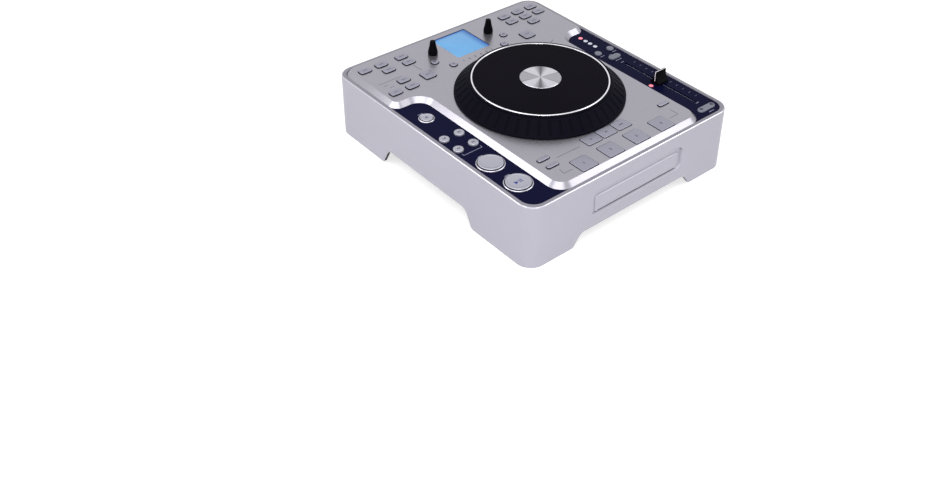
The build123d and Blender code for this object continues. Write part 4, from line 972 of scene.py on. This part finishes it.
# the floors of the two dimples are coloured dark
def inDimple(centre, normal):
    x, y, z = rockerPlace
    sideways = abs(abs(centre.x - x) - rockerSpec["out"])
    near = math.hypot(sideways, centre.y - y) < rockerSpec["dimple"]
    return near and centre.z < z - 0.01 and normal.z > 0.5


paintFaces(bm, 1, inDimple)
finishPiece(
    bm, "bend_rocker_cap", "bend_key", [dullKeys, markDark], ["bend_rocker"], recalc=False,
    angle=50,
)
print("knobs, fader and rocker made")

# tray and door
# a thin dark strip on the door's lower front edge: painted shadow of the gap under the door
doorSpec = {"shadowLineSize": (129.0, 0.3, 0.9), "shadowLineSink": 0.12, "shadowLineMiddle": 36.4}
finishPiece(
    copyOf("disc_tray", lambda low, high: (high - low).y > 100), "tray_plate", "tray", darkPlastic,
    ["disc_tray"], recalc=False,
)
bm = copyOf("disc_tray", lambda low, high: (high - low).y < 20)
bm.normal_update()
# the door's downward faces are painted black: painted shade under the door
paintFaces(bm, 1, lambda centre, normal: normal.z < -0.3)
finishPiece(
    bm, "tray_door", "tray", [silverShell, blackPaintAndShade], ["disc_tray"], recalc=False,
)
low, high = boxOf("disc_tray")
bm = bmesh.new()
bmesh.ops.create_cube(bm, size=1.0)
bmesh.ops.scale(bm, verts=bm.verts, vec=doorSpec["shadowLineSize"])
shadowLinePlace = ((low.x + high.x) / 2, low.y + doorSpec["shadowLineSink"], doorSpec["shadowLineMiddle"])
bmesh.ops.translate(bm, verts=bm.verts, vec=shadowLinePlace)
finishPiece(bm, "door_shadow_line", "tray", footRubberAndShadowLine)
print("tray made")

# sockets, switch, feet and screws
socketSpec = {
    "height": 48.0, "sleeve": 4.25, "bore": 1.6, "insert": 3.4, "length": 9.0, "collar": (1.6, 1.25),
    "audio": {
        "line_out_left": (62.0, whitePlastic), "line_out_right": (80.0, redPlastic),
        "digital_out": (98.0, orangePlastic),
    },
}
screwSpec = {
    "radius": 3.1, "rise": 1.1, "slot": (3.6, 0.8), "turn": 0.4,
    "places": [(-105.0, -168.0, 25.5), (105.0, -168.0, 25.5), (-148.0, 166.0, 3.0), (148.0, 166.0, 3.0)],
}
socketBack = boxOf("rear_sockets")[1].y


def alongY(bm, place):
    bmesh.ops.rotate(bm, verts=bm.verts, cent=(0, 0, 0), matrix=Matrix.Rotation(math.radians(-90), 3, "X"))
    bmesh.ops.translate(bm, verts=bm.verts, vec=place)


finishPiece(
    copyOf("rear_sockets"), "socket_bodies", "body_shell", socketPlastic, ["rear_sockets"],
    recalc=False,
)
for name, (x, insertPlastic) in socketSpec["audio"].items():
    sleeve, bore, insert, length = (socketSpec[k] for k in ("sleeve", "bore", "insert", "length"))
    collar, collarTop = socketSpec["collar"]
    profile = [
        (insert, length - 0.8), (insert, length + 0.02), (sleeve - 0.3, length + 0.02),
        (sleeve, length - 0.3), (sleeve, collarTop), (sleeve + collar, collarTop), (sleeve + collar, 0.05),
    ]
    bm = turned(profile, (0, 0), 48)
    alongY(bm, (x, socketBack - length, socketSpec["height"]))
    finishPiece(bm, name + "_sleeve", "body_shell", nickelMetal)
    profile = [
        (bore, length - 2.0), (bore, length + 0.04), (insert - 0.1, length + 0.04), (insert, length - 0.2)
    ]
    bm = turned(profile, (0, 0), 40)
    alongY(bm, (x, socketBack - length, socketSpec["height"]))
    finishPiece(bm, name + "_insert", "body_shell", insertPlastic)
finishPiece(
    copyOf("power_switch"), "switch_paddle", "power_paddle", blackGrip, ["power_switch"],
    recalc=False,
)
finishPiece(
    copyOf("rubber_feet"), "feet", "body_shell", footRubberAndShadowLine, ["rubber_feet"], recalc=False
)
for i, (x, y, z) in enumerate(screwSpec["places"]):
    radius, rise = screwSpec["radius"], screwSpec["rise"]
    profile = [
        (radius, 0.3), (radius, -0.2), (0.8 * radius, -0.75 * rise), (0.45 * radius, -rise), (0, -rise)
    ]
    bm = turned([(r, z + h) for r, h in profile], (x, y), 32)
    length, width = screwSpec["slot"]
    # the cross slots are black bars on the head: painted shade where the slot's recess would be
    for turn in (screwSpec["turn"], screwSpec["turn"] + math.pi / 2):
        other = bmesh.new()
        bmesh.ops.create_cube(other, size=1.0)
        bmesh.ops.scale(other, verts=other.verts, vec=(length, width, 0.2))
        bmesh.ops.rotate(other, verts=other.verts, cent=(0, 0, 0), matrix=Matrix.Rotation(turn, 3, "Z"))
        bmesh.ops.translate(other, verts=other.verts, vec=(x, y, z - rise))
        joinInto(bm, other, 1)
    finishPiece(bm, f"case_screw_{i + 1}", "body_shell", [steelMetal, blackPaintAndShade])
print("sockets, switch, feet and screws made")

# floor, light and camera
studioSpec = {
    "floorRadius": 8.0, "floorDrop": 0.0002, "floorTone": 0.60, "floorLift": 0.68, "skyDiffuse": 0.34,
}

bm = bmesh.new()
bmesh.ops.create_circle(bm, cap_ends=True, segments=64, radius=studioSpec["floorRadius"])
floorMesh = bpy.data.meshes.new("floor")
bm.to_mesh(floorMesh)
bm.free()
floor = bpy.data.objects.new("floor", floorMesh)
bpy.context.scene.collection.objects.link(floor)
floor.location.z = -studioSpec["floorDrop"]
floorMaterial = bpy.data.materials.new("pale floor")
floorMaterial.use_nodes = True
tree = floorMaterial.node_tree
shader = tree.nodes["Principled BSDF"]
shader.inputs["Roughness"].default_value = 0.9
shader.inputs["Specular IOR Level"].default_value = 0.0
tone = studioSpec["floorTone"]
shader.inputs["Base Color"].default_value = (tone, tone, tone, 1)
shader.inputs["Emission Color"].default_value = (1, 1, 1, 1)
rays = addNode(tree, "ShaderNodeLightPath")
seen = mathNode(tree, "MAXIMUM", rays.outputs["Is Camera Ray"], rays.outputs["Is Glossy Ray"])
seen = mathNode(tree, "MAXIMUM", seen, rays.outputs["Is Transmission Ray"])
seen = mathNode(tree, "MULTIPLY", seen, studioSpec["floorLift"])
tree.links.new(seen, shader.inputs["Emission Strength"])
floorMesh.materials.append(floorMaterial)

world = bpy.data.worlds.new("studio")
bpy.context.scene.world = world
world.use_nodes = True
tree = world.node_tree
sky = tree.nodes["Background"]
sky.inputs["Color"].default_value = (1, 1, 1, 1)
rays = addNode(tree, "ShaderNodeLightPath")
direct = mathNode(tree, "MAXIMUM", rays.outputs["Is Camera Ray"], rays.outputs["Is Glossy Ray"])
direct = mathNode(tree, "MAXIMUM", direct, rays.outputs["Is Transmission Ray"])
tree.links.new(spread(tree, direct, 0.0, 1.0, studioSpec["skyDiffuse"], 1.0), sky.inputs["Strength"])


def softbox(name, place, target, size, power):
    lamp = bpy.data.lights.new(name, "AREA")
    lamp.shape = "RECTANGLE"
    lamp.size, lamp.size_y = size
    lamp.energy = power
    box = bpy.data.objects.new(name, lamp)
    bpy.context.scene.collection.objects.link(box)
    box.visible_camera = False
    box.location = place
    box.rotation_euler = (Vector(target) - Vector(place)).to_track_quat("-Z", "Y").to_euler()


softboxSpec = {
    # place, target and size in metres, then power in watts
    "front right softbox": ((0.88, -0.79, 0.93), (0.0, -0.12, 0.08), (0.9, 0.7), 5.5),
    "left softbox": ((-0.503, 0.242, 0.43), (-0.11, -0.06, 0.08), (0.30, 0.26), 0.8),
    "top softbox": ((-0.52, -0.35, 1.45), (-0.05, 0.0, 0.08), (1.4, 1.4), 15.0),
    "corner softbox": ((-0.78, -0.98, 0.30), (-0.15, -0.17, 0.05), (0.35, 0.35), 4.2),
}
for name, (place, target, size, power) in softboxSpec.items():
    softbox(name, place, target, size, power)

cameraSpec = {
    "place": (-0.8196266, -0.880767, 0.8314827), "azimuth": -42.4671, "elevation": 31.8042, "roll": 1.8915,
    "lens": 43.1318, "shift": (-0.0489, -0.1699),
}
azimuth, elevation, roll = (math.radians(cameraSpec[k]) for k in ("azimuth", "elevation", "roll"))
back = Vector(
    (math.sin(azimuth) * math.cos(elevation), -math.cos(azimuth) * math.cos(elevation), math.sin(elevation))
)
right = (-back).cross(Vector((0, 0, 1))).normalized()
up = right.cross(-back)
side = math.cos(roll) * right + math.sin(roll) * up
top = math.cos(roll) * up - math.sin(roll) * right
lens = bpy.data.cameras.new("camera")
lens.sensor_width, lens.lens = 36.0, cameraSpec["lens"]
lens.shift_x, lens.shift_y = cameraSpec["shift"]
lens.clip_start = 0.01
camera = bpy.data.objects.new("camera", lens)
bpy.context.scene.collection.objects.link(camera)
turnMatrix = Matrix((side, top, back)).transposed().to_4x4()
camera.matrix_world = Matrix.Translation(cameraSpec["place"]) @ turnMatrix
bpy.context.scene.camera = camera
bpy.context.scene.view_settings.view_transform = "Standard"
print("studio made")
